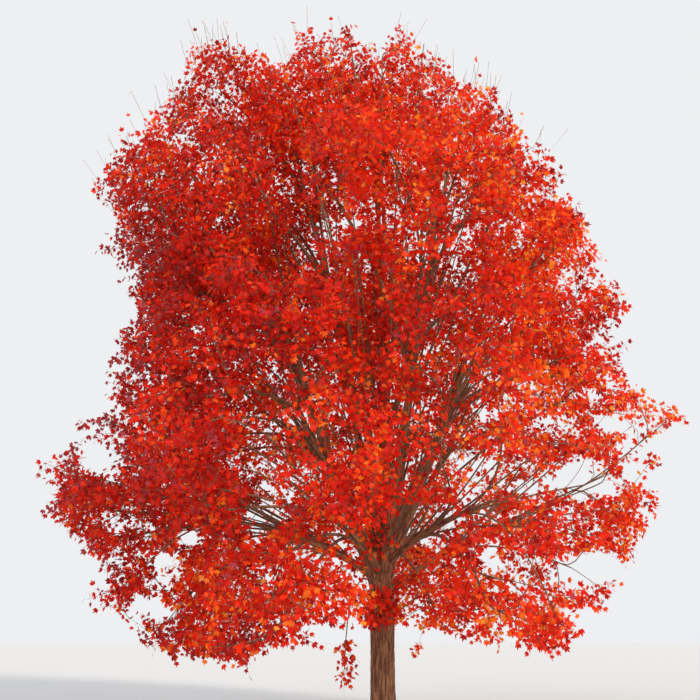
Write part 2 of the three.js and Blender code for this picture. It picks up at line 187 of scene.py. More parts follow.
# How deep in its mass a spray has to end: 0 is the middle of the mass and 1 is its skin
REACH = {
    "crown": 0.68, "top": 0.76, "skirt": 0.85, "fork": 0.95, "fork_tuft": 0.95, "hanging_shoot": 0.62,
}

# Leafy shoots along the limbs themselves: from which share of the limb on, how far out, and how many stay
INNER = table(
    "start girth kept",
    ("stem", 0.4, 1.05, 0.45),
    ("low_bough", 0.3, 0.95, 0.2),
    ("middle_bough", 0.3, 0.95, 0.3),
    ("high_bough", 0.2, 1.35, 1.0),
    ("leader", 0.0, 1.35, 1.0),
)
LEADER_FROM = 5.6
OWN_TIERS = ("inner", "fork")  # the masses that stand for no node

# Leafy shoots that hang before the fork: where each starts on the trunk, its turn, how far out and how
# high its tip is, and its girth
FORK_SHOOTS = [(2.3, 262, 0.85, 2.75, 0.5), (2.5, 292, 0.8, 3.05, 0.5), (2.25, 318, 0.8, 2.45, 0.4)]
SHOOT_BEND, SHOOT_BARE = np.array([0.5, 0.5, 0.8]), 0.2  # how such a shoot bends up, and its bare part

# Slim limbs that leave a bough below its tip and end inside a mass: where they leave, as shares of the
# bough, and where they end, as shares of the mass's length and girth and degrees round its axis
SIDE_LIMBS = {
    "low": [(0.2, 0.3, 0.4, 130), (0.42, 0.42, 0.45, 50), (0.62, 0.5, 0.5, 200), (0.82, 0.4, 0.5, 310)],
    "skirt": [(0.3, 0.45, 0.45, 60), (0.5, 0.5, 0.45, 240)],
    "middle": [(0.1, 0.35, 0.5, 150), (0.4, 0.45, 0.5, 80), (0.62, 0.5, 0.5, 230), (0.82, 0.42, 0.5, 330)],
    "upper": [
        (0.06, 0.3, 0.5, 20), (0.18, 0.42, 0.5, 120), (0.42, 0.4, 0.5, 60), (0.6, 0.5, 0.5, 180),
        (0.8, 0.42, 0.5, 300),
    ],
    "high": [(0.1, 0.3, 0.5, 170), (0.45, 0.45, 0.5, 90), (0.7, 0.5, 0.5, 250)],
}
LIMB_PULL = 0.42  # how far a slim limb keeps the heading of its bough

# Slim limbs that fan out from the trunk above the fork: the height where each leaves it, then its tip
FAN = [
    (2.15, -2.46, -2.6, 4.23), (2.3, -2.31, -2.4, 5.42), (2.5, -2.02, -2.2, 6.39), (2.7, -1.45, -2.4, 6.24),
    (2.9, -0.99, -1.9, 7.93), (3.1, -0.64, -1.5, 9.4), (2.2, 1.27, -2.6, 4.86), (2.4, 1.98, -2.1, 5.91),
    (2.6, 1.13, -2.1, 6.78), (2.8, 0.88, -1.9, 8.2), (3.2, 0.61, -1.4, 9.7), (2.3, 2.4, -2.5, 4.57),
    (3.0, 1.64, -1.5, 8.9), (3.3, -1.45, -1.3, 9.98), (3.5, -1.95, -2.0, 8.15), (3.8, -0.97, -1.2, 10.59),
    (4.1, 0.04, -1.1, 10.81), (3.7, 1.43, -1.6, 9.73), (3.4, 1.87, -2.2, 7.89), (4.4, -0.5, -0.8, 11.46),
    (4.0, 0.76, -1.0, 11.14), (2.6, -1.14, -2.2, 8.92), (2.45, 0.21, -2.6, 8.19), (2.35, 1.55, -2.9, 5.38),
    (2.25, -0.47, -2.9, 6.66),
]
FAN_RISE = 0.9  # how much more upright a fan limb leaves the trunk than its tip lies
LIMB_FOOT, LIMB_TIP = 0.022, 0.0075  # least radii of a slim limb
LIMB_GIRTH = 1.05  # a limb is this much thicker than a twig with the same sprays

# Bare whips that stand out of the top of the crown: how many on a mass of each tier
WHIPS = {"upper": 14, "high": 26, "top": 18}
BARE = 9  # the order of a whip, which no twig has
WHIP_EVERY, WHIP_LEAF_EVERY = 3, 5  # one such twig in three bears a whip, and one whip in five a leaf
WHIP_LENGTH, WHIP_GIRTH = (0.25, 0.6), 1.25
WHIP_OUTER = 0.5  # how much a twig's way out counts against its height, when the whips are dealt out
WHIP_PULL, WHIP_LEAN, WHIP_SPLAY, WHIP_STRAY = 0.3, 0.3, 0.2, 0.1  # how far a whip strays from upright

# Clumps of sprays, with lumps in them
CLUMP_FLATNESS = 2.4  # how much wider than tall they are
LUMP_SIZE, LUMP_WEIGHT = 0.4, 0.7  # a lump's size and weight as shares of a clump's
CLUMP_LEVEL = -0.08  # how thick a clump has to be for its sprays to stay
OPENING_LEVEL, OPENING_EASE = 0.42, 0.3  # how much thicker in an opening, and how gently that sets in

# Where the crown is thinner or open, as it is seen from the eye, by how far forward and back that holds: a
# place on the upright plane through the trunk, across and up, its reach both ways, and the share that stays
EYE = np.array([-0.5, -16.0, 1.6])
FRONT, BACK, ALL_THROUGH = (-9, -0.3), (0.6, 9), (-9, 9)
OPENING_CORE = 0.65  # the part of an opening that is fully open
RAGGED, RAG_WIDTH = 0.6, 0.45  # how uneven an opening's edge is, and the size of its notches
OPENINGS = {
    FRONT: [
        # the curtain in front of the limbs
        (-1.56, 4.74, 1.21, 1.66, 0.36), (1.13, 4.91, 1.06, 1.67, 0.35), (-1.31, 8.11, 0.76, 1.75, 0.42),
        (1.04, 7.96, 0.89, 1.84, 0.42), (-0.09, 2.37, 0.50, 0.31, 0.22), (-0.85, 8.80, 0.26, 1.73, 0.22),
        (0.34, 8.89, 0.28, 0.94, 0.3), (1.43, 8.43, 0.31, 1.23, 0.3), (1.95, 4.82, 0.65, 1.16, 0.45),
    ],
    BACK: [
        # the foliage behind the limbs
        (-1.32, 4.82, 1.47, 1.99, 0.55), (1.05, 4.66, 1.30, 1.98, 0.5),
    ],
    ALL_THROUGH: [
        # windows and gaps on the left, down to the lower edge
        (-3.03, 2.96, 0.28, 0.22, 0), (-3.30, 2.58, 0.25, 0.20, 0), (-3.50, 2.25, 0.30, 0.21, 0),
        (-3.72, 1.91, 0.34, 0.24, 0), (-4.11, 1.49, 0.52, 0.36, 0), (-4.65, 1.23, 0.77, 0.59, 0),
        (-5.13, 2.28, 0.50, 0.50, 0), (-1.84, 3.27, 0.54, 0.35, 0.3), (-1.26, 0.94, 0.73, 0.58, 0),
        (-1.66, 0.99, 0.43, 0.38, 0), (-0.99, 1.46, 0.46, 0.27, 0.25), (-0.65, 1.15, 0.46, 0.56, 0),
        (-4.53, 4.13, 0.48, 0.39, 0.2), (-3.68, 3.21, 0.64, 0.22, 0.5), (-0.89, 2.77, 0.60, 0.53, 0.4),
        # the same on the right
        (1.03, 0.96, 1.07, 0.63, 0), (1.79, 0.91, 0.46, 0.49, 0), (0.35, 1.35, 0.34, 0.38, 0),
        (3.85, 1.46, 0.80, 0.62, 0), (3.18, 2.43, 0.94, 0.37, 0.2), (3.27, 3.87, 0.80, 0.51, 0.08),
        (4.06, 4.23, 0.48, 0.42, 0.15), (3.90, 4.77, 0.62, 0.30, 0.15), (1.59, 3.92, 0.72, 0.68, 0.3),
        (2.75, 4.66, 0.81, 0.36, 0.35), (2.16, 2.40, 0.75, 0.37, 0.35), (2.34, 3.91, 0.71, 0.48, 0.25),
        (0.80, 3.05, 0.48, 0.41, 0.4), (3.32, 7.33, 0.48, 0.36, 0.5), (1.46, 7.56, 0.44, 0.62, 0.4),
        (0.74, 3.17, 0.70, 0.47, 0.35), (1.56, 3.21, 0.57, 0.44, 0.5), (3.12, 3.21, 0.64, 0.38, 0.4),
        (1.51, 6.35, 0.84, 1.05, 0.5), (1.52, 5.60, 0.50, 0.44, 0.4), (2.37, 5.16, 0.59, 0.44, 0.45),
        (3.55, 6.88, 0.57, 0.89, 0.55),
        # hollows in the outline
        (-5.38, 4.61, 0.55, 0.49, 0), (-4.79, 7.24, 0.71, 0.77, 0), (-4.95, 8.30, 0.62, 0.67, 0),
        (-4.69, 6.56, 0.34, 0.39, 0), (-4.57, 10.64, 0.89, 0.88, 0), (-3.90, 11.20, 0.50, 0.77, 0),
        (-2.59, 12.33, 1.10, 0.63, 0), (-1.72, 11.75, 0.24, 0.56, 0), (-0.96, 12.42, 0.88, 0.55, 0),
        (-0.17, 12.02, 0.27, 0.37, 0), (1.00, 12.19, 0.44, 0.58, 0), (1.89, 11.65, 1.09, 1.11, 0),
        (2.81, 11.08, 1.04, 1.09, 0), (3.84, 9.35, 0.77, 0.96, 0), (4.51, 6.09, 0.57, 1.38, 0),
        (3.70, 7.45, 0.41, 0.25, 0.5), (4.98, 4.04, 0.97, 0.84, 0),
    ],
}

# Where the crown is thicker, as it is seen from the eye: the place and its reach, as above
FULLER = [
    (-1.39, 10.74, 1.11, 1.04), (-3.61, 6.99, 0.57, 0.50), (-3.70, 6.11, 0.60, 0.52),
    (-0.85, 10.09, 1.06, 0.78), (3.12, 8.30, 0.48, 0.44), (-2.92, 7.64, 0.85, 0.62),
    (-4.69, 3.68, 0.38, 0.29), (3.81, 3.05, 0.44, 0.31), (-3.81, 2.23, 0.44, 0.34),
    (-2.99, 1.32, 0.62, 0.32), (2.51, 1.55, 0.53, 0.33),
]
FULLER_LEVEL, FULLER_REACH = 0.6, 0.26  # how much thinner a clump may be there, and how much wider a mass

# The outline of a leaf, forward and sideways from its base as shares of its length
HALF_LEAF = [(0.08, 0.38), (0.64, 0.5), (0.54, 0.18)]
LEAF_OUTLINE = [(0, 0), *HALF_LEAF, (1, 0), *[(x, -y) for x, y in reversed(HALF_LEAF)]]

# The leaves of a spray: how far back from the twig's end each one's stalk starts, and its turn in degrees
LEAF_PAIRS = [(0, 0), (0.055, 0), (0.055, 180), (0.125, 90), (0.125, 270), (0.21, 0), (0.21, 180)]
BARE_FOOT = 0.2  # the share of a twig, from its foot, that bears no leaves
END_SPLAY, SIDE_SPLAY = 0.15, 1.15  # how far a stalk at the twig's end, or behind it, stands off

# How a leaf lies: its blade follows its stalk and hangs, its face looks up and out, and both stray
FOLLOW, HANG, STRAY = 0.75, 0.45, 0.35
FACE_UP, FACE_OUT, FACE_STRAY = 0.4, 0.6, 0.65
LEAF_SPREAD, LEAF_SIZES, STALK_SIZES = 0.17, (0.6, 1.4), (0.6, 1.4)
LEAF_FOLD, LEAF_CURL, CURL_ALONG, CURL_ACROSS = 0.16, (0.1, 0.75), 0.35, 0.55
STALK_WIDTH = 0.0012  # to each side
ASKEW = UP + 0.01  # not quite upright, so that an upright twig can be crossed with it

# How warm a spray's tint is, from 0 to 1: the mean of the crown's two sides at middle height, how much more
# on the right side, as painted sunlight, and between the sides, as painted light in the crown's shaded
# middle, which leaves the left edge darker as painted shade, how much more at the foot, and how much by
# patches, by chance, from leaf to leaf and on the bole's shoots
WARMTH, PAINTED_SUN_RIGHT, PAINTED_LIGHT_MIDDLE, WARM_FOOT = 0.385, 0.1, 0.15, 0.03
WARM_PATCH, WARM_CHANCE, WARM_LEAF, WARM_SHOOT = 0.2, 0.12, 0.115, -0.03
PATCH_WIDTH, SPECK_WIDTH, SPECK_WEIGHT = 1.9, 0.5, 0.8
CROWN_HALF_WIDTH, CROWN_MIDDLE, CROWN_HALF_HEIGHT = 5, 6, 6

# The tints from cool to warm, each with the record's slot that it stands for
TINTS = {
    # the coolest tint is a painted reflection: a pink-purple sheen of blue sky on the leaves
    **dict.fromkeys(("rose", "maroon", "crimson"), "foliage_crimson"),
    **dict.fromkeys(("red", "scarlet"), "foliage_scarlet"),
    # orange and amber are partly the leaves' own colour and partly painted glints of sunlight shining
    # through them
    **dict.fromkeys(("vermilion", "orange", "amber"), "foliage_flame"),
}

# How a leaf takes the light, and how much more of each colour shines through it
LEAF_ROUGHNESS, LEAF_SHINE, LEAF_GLOW = 0.42, 0.25, 0.6
GLOW_GAINS, GLOW_ADDED = (1.25, 1.6, 1), (0, 0.008, 0)

BARK_PLACE = "bark_place"  # where a point lies round and along its limb, as the mesh carries it

# The relief of the bark: the widths of its waves, plates and grain, and how far along the limb they run
WAVE_WIDTH, WAVE_REACH, PLATE_WIDTH, GRAIN_WIDTH = 0.05, 0.02, 0.034, 0.014
PLATE_RUN, GRAIN_RUN = 0.16, 0.5  # the smaller, the longer
PLATE_SLOPE, FURROW_FLOOR, GRAIN_DEPTH = 2.4, -0.4, 0.35
FULL_RELIEF, LEAST_RELIEF = 0.18, 0.15  # radius of a limb with the full relief, and the least share of it
RING_CROWDING = 1.35  # how much closer the trunk's rings stand near the ground
TRUNK_STEPS, SIDES_TO_RIDGE = 200, 3
BOUGH_SIDES, BOUGH_STEP = 24, 0.055

# The swelling at a bough's foot: how much, how far along and how wide, and the girth of the bough's end
COLLAR_SWELL, COLLAR_PLACE, COLLAR_WIDTH, BOUGH_END = 0.32, 0.1, 0.2, 0.55

# The sides and the rings of each kind of twig
TWIG_FACES = {
    "branches": (8, 10),
    "branchlets": (4, 4),
    "twigs": (3, 2),
    "fine_twigs_left": (3, 1),
    "fine_twigs_right": (3, 1),
}

# How fine each bark's pattern is, how much of it is pale, and how strongly it is raised
BARKS = table(
    "fineness patches bump",
    ("old_bark", 30.0, 0.25, 0.7),
    ("young_bark", 38.0, 0.35, 0.5),
    ("twig_bark", 60.0, 0.15, 0.3),
)
BUMP_HEIGHT = 0.004  # of the raised pattern in the material

# The noises of that pattern, the levels between which plates, pale patches and fibres set in, and the
# fibres' tones, roughness and height
BARK_RUN = (1, 1, 0.14)  # the smaller, the longer along the limb
PLATE_NOISE = {"Detail": 7.0, "Roughness": 0.62}
FIBRE_NOISE = {"Scale": 150.0, "Detail": 3.0}
PATCH_NOISE = {"Scale": 3.1, "Detail": 5.0}
PLATE_LEVELS, PATCH_LEVELS, FIBRE_LEVELS = (0.4, 0.6), (0.55, 0.72), (0.3, 0.7)
FIBRE_TONES, FIBRE_ROUGHNESS, FIBRE_HEIGHT = (0.72, 1.2), (0.95, 0.72), 0.3

# What sets each pattern of noise apart from the others
SEEDS = dict(rags=3.1, clumps=7.7, lumps=2.3, waves=1.3, plates=5.9, grain=9.2, patches=4.4, specks=8.8)
LEAF_SEED, WHIP_SEED = 11, 5

# The lights: their colours, where they shine from and how soft they are
KEY_LIGHT = dict(rgb=(1.0, 0.89, 0.74), place=(0.52, -0.72, 0.46), softness=0.18)
FILL_LIGHT = dict(rgb=(0.88, 0.93, 1.0), place=(-0.55, -0.75, 0.35), softness=1.2)
AIR_COLOUR = (0.9, 0.91, 0.93)
PAPER_ROUGHNESS, SENSOR_WIDTH, FURTHEST_SEEN = 0.9, 36, 500


# Settings


def colour(name, description, default):
    return FloatVectorProperty(
        name=name, description=description, default=default, subtype="COLOR", size=3, min=0, max=1
    )


def length(name, description, default):
    return FloatProperty(
        name=name, description=description, default=default, unit="LENGTH", precision=4, min=0
    )


class MapleBark(bpy.types.PropertyGroup):
    """How the bark and the wood look."""

    ridges: IntProperty(name="Ridges", description="Ridges of bark round the trunk", default=34, min=4)
    relief: length("Relief", "How far the ridges stand out on the trunk", 0.011)
    twig_end: length("Twig end", "Radius of a twig at its tip", 0.0024)
    # Ridge and furrow: the colour on the raised plates, and the darker colour on the floor between them
    ridge: colour("Ridge", "Weathered faces of the ridges", (0.31, 0.145, 0.064))
    furrow: colour("Furrow", "Floor of the furrows", (0.078, 0.031, 0.012))
    lichen: colour("Lichen", "Pale patches on the bark", (0.46, 0.31, 0.17))
    twig: colour("Twig", "Young wood", (0.25, 0.13, 0.066))


class MapleFoliage(bpy.types.PropertyGroup):
    """How thick the foliage is, and its colours, some of them painted light and shade."""

    density: FloatProperty(
        name="Density", description="Points tried in each cubic metre of the crown", default=155, min=1
    )
    clump: length("Clump", "Width of a clump of sprays", 0.85)
    leaf: length("Leaf", "Length of an ordinary leaf's blade", 0.078)
    petiole: length("Petiole", "Length of a leaf's stalk", 0.05)
    # Rose is a painted reflection: its purple bloom is blue sky mirrored on the coolest leaves
    rose: colour("Rose", "The coolest tint, with a purple bloom", (0.38, 0.045, 0.075))
    maroon: colour("Maroon", "Leaves in deep shade", (0.3, 0.005, 0.004))
    crimson: colour("Crimson", "Most of the left side", (0.48, 0.008, 0.005))
    red: colour("Red", "Between crimson and scarlet", (0.64, 0.012, 0.005))
    scarlet: colour("Scarlet", "Most of the middle", (0.78, 0.025, 0.005))
    vermilion: colour("Vermilion", "Most of the right side", (0.86, 0.068, 0.007))
    # Orange and amber are partly the leaves' own colour and partly painted glints of sunlight through the
    # leaves
    orange: colour("Orange", "Leaves that turn late", (0.92, 0.18, 0.014))
    amber: colour("Amber", "A few leaves among the orange ones", (0.95, 0.29, 0.03))


class MapleStudio(bpy.types.PropertyGroup):
    """The floor, the lights and the camera."""

    floor: length("Floor", "Width of the floor", 160)
    paper: colour("Paper", "Colour of the floor", (0.56, 0.56, 0.565))
    key: FloatProperty(name="Key", description="Strength of the warm light", default=3.0, min=0)
    fill: FloatProperty(name="Fill", description="Strength of the cool light", default=1.8, min=0)
    air: FloatProperty(name="Air", description="Strength of the light from all round", default=0.95, min=0)
    eye: FloatVectorProperty(
        name="Eye", description="Place of the camera", default=EYE.tolist(), subtype="TRANSLATION"
    )
    pitch: FloatProperty(
        name="Pitch", description="Camera's tilt above level", default=math.radians(15.4), subtype="ANGLE"
    )
    lens: FloatProperty(name="Lens", description="Focal length in millimetres", default=51.3, min=1)


# Small helpers


def unit(vectors):
    return vectors / np.maximum(np.linalg.norm(vectors, axis=-1, keepdims=True), TINY)


def mix(a, b, share):
    return a + (b - a) * share


def outward(points):
    """The level direction from the upright axis to each point."""
    return unit(points * np.array([1, 1, 0]))


def curve_point(foot, pull, tip, t):
    return (1 - t) ** 2 * foot + 2 * t * (1 - t) * pull + t**2 * tip


def curve_way(foot, pull, tip, t):
    return unit((1 - t) * (pull - foot) + t * (tip - pull))


def around(out, turn, height):
    """A point this far out from the upright axis, this many degrees round from +X, at a height."""
    angle = math.radians(turn)
    return np.array([out * math.cos(angle), out * math.sin(angle), height])


def seeded(seed):
    """Repeatable numbers from 0 to 1, the same as those of the solids."""
    mask = 0xFFFFFFFF
    state = seed & mask
    while True:
        state = (state + 0x6D2B79F5) & mask
        t = ((state ^ (state >> 15)) * (state | 1)) & mask
        t ^= (t + (((t ^ (t >> 7)) * (t | 61)) & mask)) & mask
        yield ((t ^ (t >> 14)) & mask) / (mask + 1)


def rippled(points, width, seed=0.0):
    """Smooth noise at each point, about -0.6 to 0.6, with lumps of this width."""
    return np.array([noise.noise(point / width + seed) for point in points])


@dataclass
class Path:
    """A curve bent by one pull, read by share of its own length."""

    foot: np.ndarray
    pull: np.ndarray
    tip: np.ndarray

    def __post_init__(self):
        self.steps = np.linspace(0, 1, PATH_STEPS)
        spans = np.linalg.norm(np.diff(self.bare(self.steps), axis=0), axis=1)
        travelled = np.concatenate([[0], np.cumsum(spans)])
        self.length = travelled[-1]
        self.shares = travelled / self.length

    def bare(self, steps):
        return curve_point(self.foot, self.pull, self.tip, np.atleast_1d(steps)[:, None])

    def way(self, steps):
        return curve_way(self.foot, self.pull, self.tip, np.atleast_1d(steps)[:, None])

    def at(self, shares):
        return self.bare(np.interp(shares, self.shares, self.steps))

    def heading(self, shares):
        return self.way(np.interp(shares, self.shares, self.steps))


# The limbs


def trunk_axis(height):
    swing = SWAY_WAVES * np.maximum(0, height - SWAY_FROM) / TRUNK_TOP
    return np.stack(
        [SWAY_AMOUNT * np.sin(swing), SWAY_AMOUNT * (1 - np.cos(swing)), height + 0 * swing], axis=-1
    )


def path_at_height(path, height):
    return path.at(np.interp(height, path.at(path.shares)[:, 2], path.shares))[0]


def plan_boughs():
    """Each bough's name, its turn, its path and its ring's plan."""
    boughs = {}
    for ring, plan in BOUGHS.items():
        for i, turn in enumerate(plan["turns"]):
            height = plan["start"] + plan["step"] * i
            foot = trunk_axis(height)
            if plan["parent"]:
                foot = path_at_height(boughs[f"{plan['parent']}_{i + 1}"][1], height)
            tip = around(plan["reach"], turn, plan["height"])
            out, up = plan["bow"]
            pull = mix(foot, tip, np.array([out, out, up]))
            boughs[f"{ring}_{i + 1}"] = (turn, Path(foot, pull, tip), plan)
    return boughs


# The masses


@dataclass
class Mass:
    """One mass of foliage: its stem's path, and the egg from toe to head that it fills."""

    name: str
    tier: str
    path: Path
    toe: np.ndarray
    head: np.ndarray
    girth: float
    bough: Path = None
    limbs: list = field(default_factory=list)

    def __post_init__(self):
        self.length = np.linalg.norm(self.head - self.toe)
        self.axis = (self.head - self.toe) / self.length
        self.across = unit(np.cross(UP, self.axis))
        self.over = np.cross(self.axis, self.across)


def head_point(tier, turn, draws):
    x, y, _ = around(1, turn, 0)
    stretch = 1 + JITTER_REACH * (next(draws) * 2 - 1)
    height = mix(*tier["height"], (x + 1) / 2) - tier["droop"] * abs(y)
    rise = JITTER_HEIGHT * (next(draws) * 2 - 1)
    out = tier["left"] if x < 0 else tier["right"]
    return np.array([x * out * stretch, y * tier["depth"] * stretch, height + rise])


def masses_on_tip(tip, heading, radius, wanted):
    """The masses that share one tip, each with its foot on the side that its head is."""
    middle = np.mean([head for _, _, head in wanted], axis=0)
    made = []
    for name, tier, head in wanted:
        aside = head - middle
        aside = unit(aside - heading * aside.dot(heading))
        foot = tip + heading * SEAM + aside * radius * STEM_OFFSET
        pull = foot + heading * np.linalg.norm(head - tip) * STEM_PULL
        path = Path(foot, pull, mix(foot, head, STEM_REACH))
        made.append(Mass(name, tier, path, foot, head, TIERS[tier]["girth"]))
    return made


def plan_masses(boughs):
    draws = seeded(HEAD_SEED)
    counts = dict.fromkeys(TIERS, 0)

    def wanted(tier, turn):
        named = []
        for spread in TIERS[tier]["spread"]:
            counts[tier] += 1
            head = head_point(TIERS[tier], turn + spread, draws)
            named.append((f"{tier}_mass_{counts[tier]}", tier, head))
        return named

    masses = []
    for turn, path, plan in boughs.values():
        carried = [one for tier in plan["masses"] for one in wanted(tier, turn)]
        made = masses_on_tip(path.at(1)[0], path.heading(1)[0], plan["radii"][1], carried)
        for mass in made:
            mass.bough = path
        masses += made
    masses += masses_on_tip(trunk_axis(TRUNK_TOP), UP, LEADER_RADIUS, wanted("top", 0))
    for name, plan in SHOOTS.items():
        foot = trunk_axis(plan["start"])
        pull = around(plan["out"], plan["turn"], plan["start"] + plan["crest"])
        path = Path(foot, pull, around(plan["out"], plan["turn"], plan["drop"]))
        masses.append(Mass(name, name, path, path.at(plan["space"])[0], path.tip, plan["girth"]))
    return masses


def depths(points, masses):
    """For each point and mass, 0 at the middle of the mass's space and 1 at its skin."""
    columns = []
    for mass in masses:
        offset = points - mass.toe
        along = offset @ mass.axis
        aside = np.sum(offset**2, axis=1) - along**2
        columns.append((2 * along / mass.length - 1) ** 2 + aside / mass.girth**2)
    return np.stack(columns, axis=1)


# The growth of a mass


def points_in_space(mass, number, count):
    """Even points in the box of a mass's egg, in the order in which twigs grow to them."""
    n = np.arange(1, count + 1)[:, None] + number * SEED_STEP
    s, u, v = ((0.5 + n * SCATTER_STEPS) % 1).T[:, :, None]
    sideways = (u * 2 - 1) * mass.girth * mass.across + (v * 2 - 1) * mass.girth * mass.over
    return mass.toe + s * mass.length * mass.axis + sideways


def seen_places(points):
    """Where the eye sees each point on the upright plane through the trunk."""
    seen = EYE + (points - EYE) * (EYE[1] / (EYE[1] - points[:, 1]))[:, None]
    return seen[:, [0, 2]]


def away_from(seen, place, notches=1):
    """0 in the core of a place on that plane, and 1 outside it."""
    near = np.linalg.norm((seen - np.array(place[:2])) / np.array(place[2:]), axis=1) * notches
    return np.clip((near - OPENING_CORE) / (1 - OPENING_CORE), 0, 1)


def kept_share(points):
    """How much of the foliage stays at each point, by the openings that it is seen in."""
    seen, share = seen_places(points), np.ones(len(points))
    notches = 1 + RAGGED * rippled(points, RAG_WIDTH, SEEDS["rags"])
    for (front, back), openings in OPENINGS.items():
        held = (points[:, 1] > front) & (points[:, 1] < back)
        for *place, kept in openings:
            edge = away_from(seen, place, notches)
            share = np.where(held, np.minimum(share, mix(kept, 1, edge)), share)
    return share


def fuller_share(points):
    """1 where the crown is thicker than elsewhere, and 0 outside those places."""
    seen = seen_places(points)
    return 1 - np.min([away_from(seen, place) for place in FULLER], axis=0)


def limb_kind(name):
    return name.rstrip("0123456789_")


def spray_points(mass, number, masses, foliage):
    """The points of a mass that get a spray: inside its own space, in clumps, and out of the openings."""
    box = mass.length * (2 * mass.girth) ** 2
    count = SHOOT_SPRAYS.get(mass.name) or int(foliage.density * box)
    points = points_in_space(mass, number, count)
    reach = REACH.get(mass.tier, REACH["crown"])
    depth = depths(points, masses)
    own = depth[:, number - 1].copy()
    depth[:, number - 1] = np.inf
    within = own < reach + FULLER_REACH * fuller_share(points)
    points = points[within & (own + OWN_MARGIN < depth.min(axis=1))]
    if mass.name in SHOOTS:
        return points
    if mass.tier == "inner":
        points = points[: int(len(points) * INNER[limb_kind(mass.name)]["kept"])]
    layered = points * np.array([1, 1, CLUMP_FLATNESS])
    clumps = rippled(layered, foliage.clump, SEEDS["clumps"])
    clumps += LUMP_WEIGHT * rippled(layered, LUMP_SIZE * foliage.clump, SEEDS["lumps"])
    clumps += FULLER_LEVEL * fuller_share(points)
    kept = kept_share(points)
    return points[clumps > CLUMP_LEVEL + OPENING_LEVEL * (1 - kept) / (kept + OPENING_EASE)]


TWIG_KEYS = ("feet", "pulls", "tips", "parents", "shares", "orders", "masses")


class Growth:
    """Every twig: its bent path, what it grows on and at which share, its order and its mass."""

    def __init__(self):
        self.limbs = []
        for key in TWIG_KEYS:
            setattr(self, key, [])

    def add(self, foot, pull, tip, parent, share, order, mass):
        for key, value in zip(TWIG_KEYS, (foot, pull, tip, parent, share, order, mass)):
            getattr(self, key).append(value)
        return len(self.feet) - 1

    def settle(self):
        for key in TWIG_KEYS:
            setattr(self, key, np.array(getattr(self, key)))
        self.lengths = np.linalg.norm(self.tips - self.feet, axis=1)

    def at(self, which, share, read=curve_point):
        """The twigs' points at one share each."""
        t = np.asarray(share)[..., None]
        return read(self.feet[which], self.pulls[which], self.tips[which], t)

    def heading(self, which, share):
        return self.at(which, share, curve_way)


class Wood:
    """The places on a mass's wood where twigs may start."""

    def __init__(self, room):
        self.points, self.headings = np.zeros((2, room, 3))
        self.trails, self.shares = np.zeros((2, room))
        self.owners, self.orders = np.zeros((2, room), int)
        self.count = 0

    def add(self, point, heading, trail, owner, share, order):
        k = self.count
        self.points[k], self.headings[k], self.trails[k] = point, heading, trail
        self.owners[k], self.shares[k], self.orders[k] = owner, share, order
        self.count += 1

    def add_along(self, path, shares, trail, owner):
        """Places on a limb. trail is the part of its length that counts as way already gone."""
        for share in shares:
            point, heading = path.bare(share)[0], path.way(share)[0]
            self.add(point, heading, trail * share * path.length, owner, share, 1)

    def root_for(self, point):
        """The cheapest place to grow from: near the point, and with the point ahead of it."""
        k = self.count
        ways = point - self.points[:k]
        distances = np.linalg.norm(ways, axis=1)
        ahead = np.einsum("ij,ij->i", ways, self.headings[:k]) / distances
        costs = distances * (1 + BEND_COST * (1 - ahead)) + TRAIL_COST * self.trails[:k]
        costs[(ahead < LEAST_AHEAD) | (distances < SHORTEST_TWIG)] = np.inf
        best = int(np.argmin(costs))
        return best if np.isfinite(costs[best]) else None


def slim_limb(foot, way, tip):
    return Path(foot, foot + way * np.linalg.norm(tip - foot) * LIMB_PULL, tip)


def share_out_fan(masses):
    """Give each limb of the fan to the mass that its tip lies deepest in."""
    heights, tips = np.array(FAN)[:, 0], np.array(FAN)[:, 1:]
    for height, tip, owner in zip(heights, tips, depths(tips, masses).argmin(axis=1)):
        foot = trunk_axis(height)
        way = unit(unit(tip - foot) + FAN_RISE * UP)
        masses[owner].limbs.append(slim_limb(foot, way, tip))


def side_limb_paths(mass):
    """The paths of the slim limbs that run into a mass from its bough, and of its share of the fan."""
    paths = list(mass.limbs)
    for start, along, aside, turn in SIDE_LIMBS.get(mass.tier, []):
        foot = mass.bough.at(start)[0]
        angle = math.radians(turn)
        sideways = math.cos(angle) * mass.across + math.sin(angle) * mass.over
        tip = mass.toe + mass.axis * mass.length * along + sideways * mass.girth * aside
        paths.append(slim_limb(foot, mass.bough.heading(start)[0], tip))
    return paths


def start_wood(growth, mass, number, room):
    """A mass's stem and slim limbs, and the places on them where twigs may start."""
    path, limbs = mass.path, side_limb_paths(mass)
    stem = growth.add(path.foot, path.pull, path.tip, -1, 0, -(mass.tier == "inner"), number)
    wood = Wood(room + STEM_NODES + len(LIMB_NODES) * len(limbs))
    for limb in limbs:
        twig = growth.add(limb.foot, limb.pull, limb.tip, -1, 0, 0, number)
        growth.limbs.append(twig)
        wood.add_along(limb, LIMB_NODES, LIMB_TRAIL, twig)
    first = 1 - mass.length / path.length if mass.name in SHOOTS else 0
    wood.add_along(path, np.linspace(max(first, STEM_NODES_FROM), 1, STEM_NODES), 1, stem)
    return wood


def grow_twig(growth, wood, root, point, number):
    """A twig from a place on the wood to a point, with places of its own for others."""
    foot, heading, order = wood.points[root].copy(), wood.headings[root], int(wood.orders[root])
    reach = np.linalg.norm(point - foot)
    pull = foot + heading * reach * TWIG_PULL - UP * reach * TWIG_SAG
    twig = growth.add(foot, pull, point, wood.owners[root], wood.shares[root], order, number)
    if order == MOST_ORDERS:
        return
    for share in TWIG_NODES:
        place, ahead = curve_point(foot, pull, point, share), curve_way(foot, pull, point, share)
        wood.add(place, ahead, wood.trails[root] + share * reach, twig, share, order + 1)


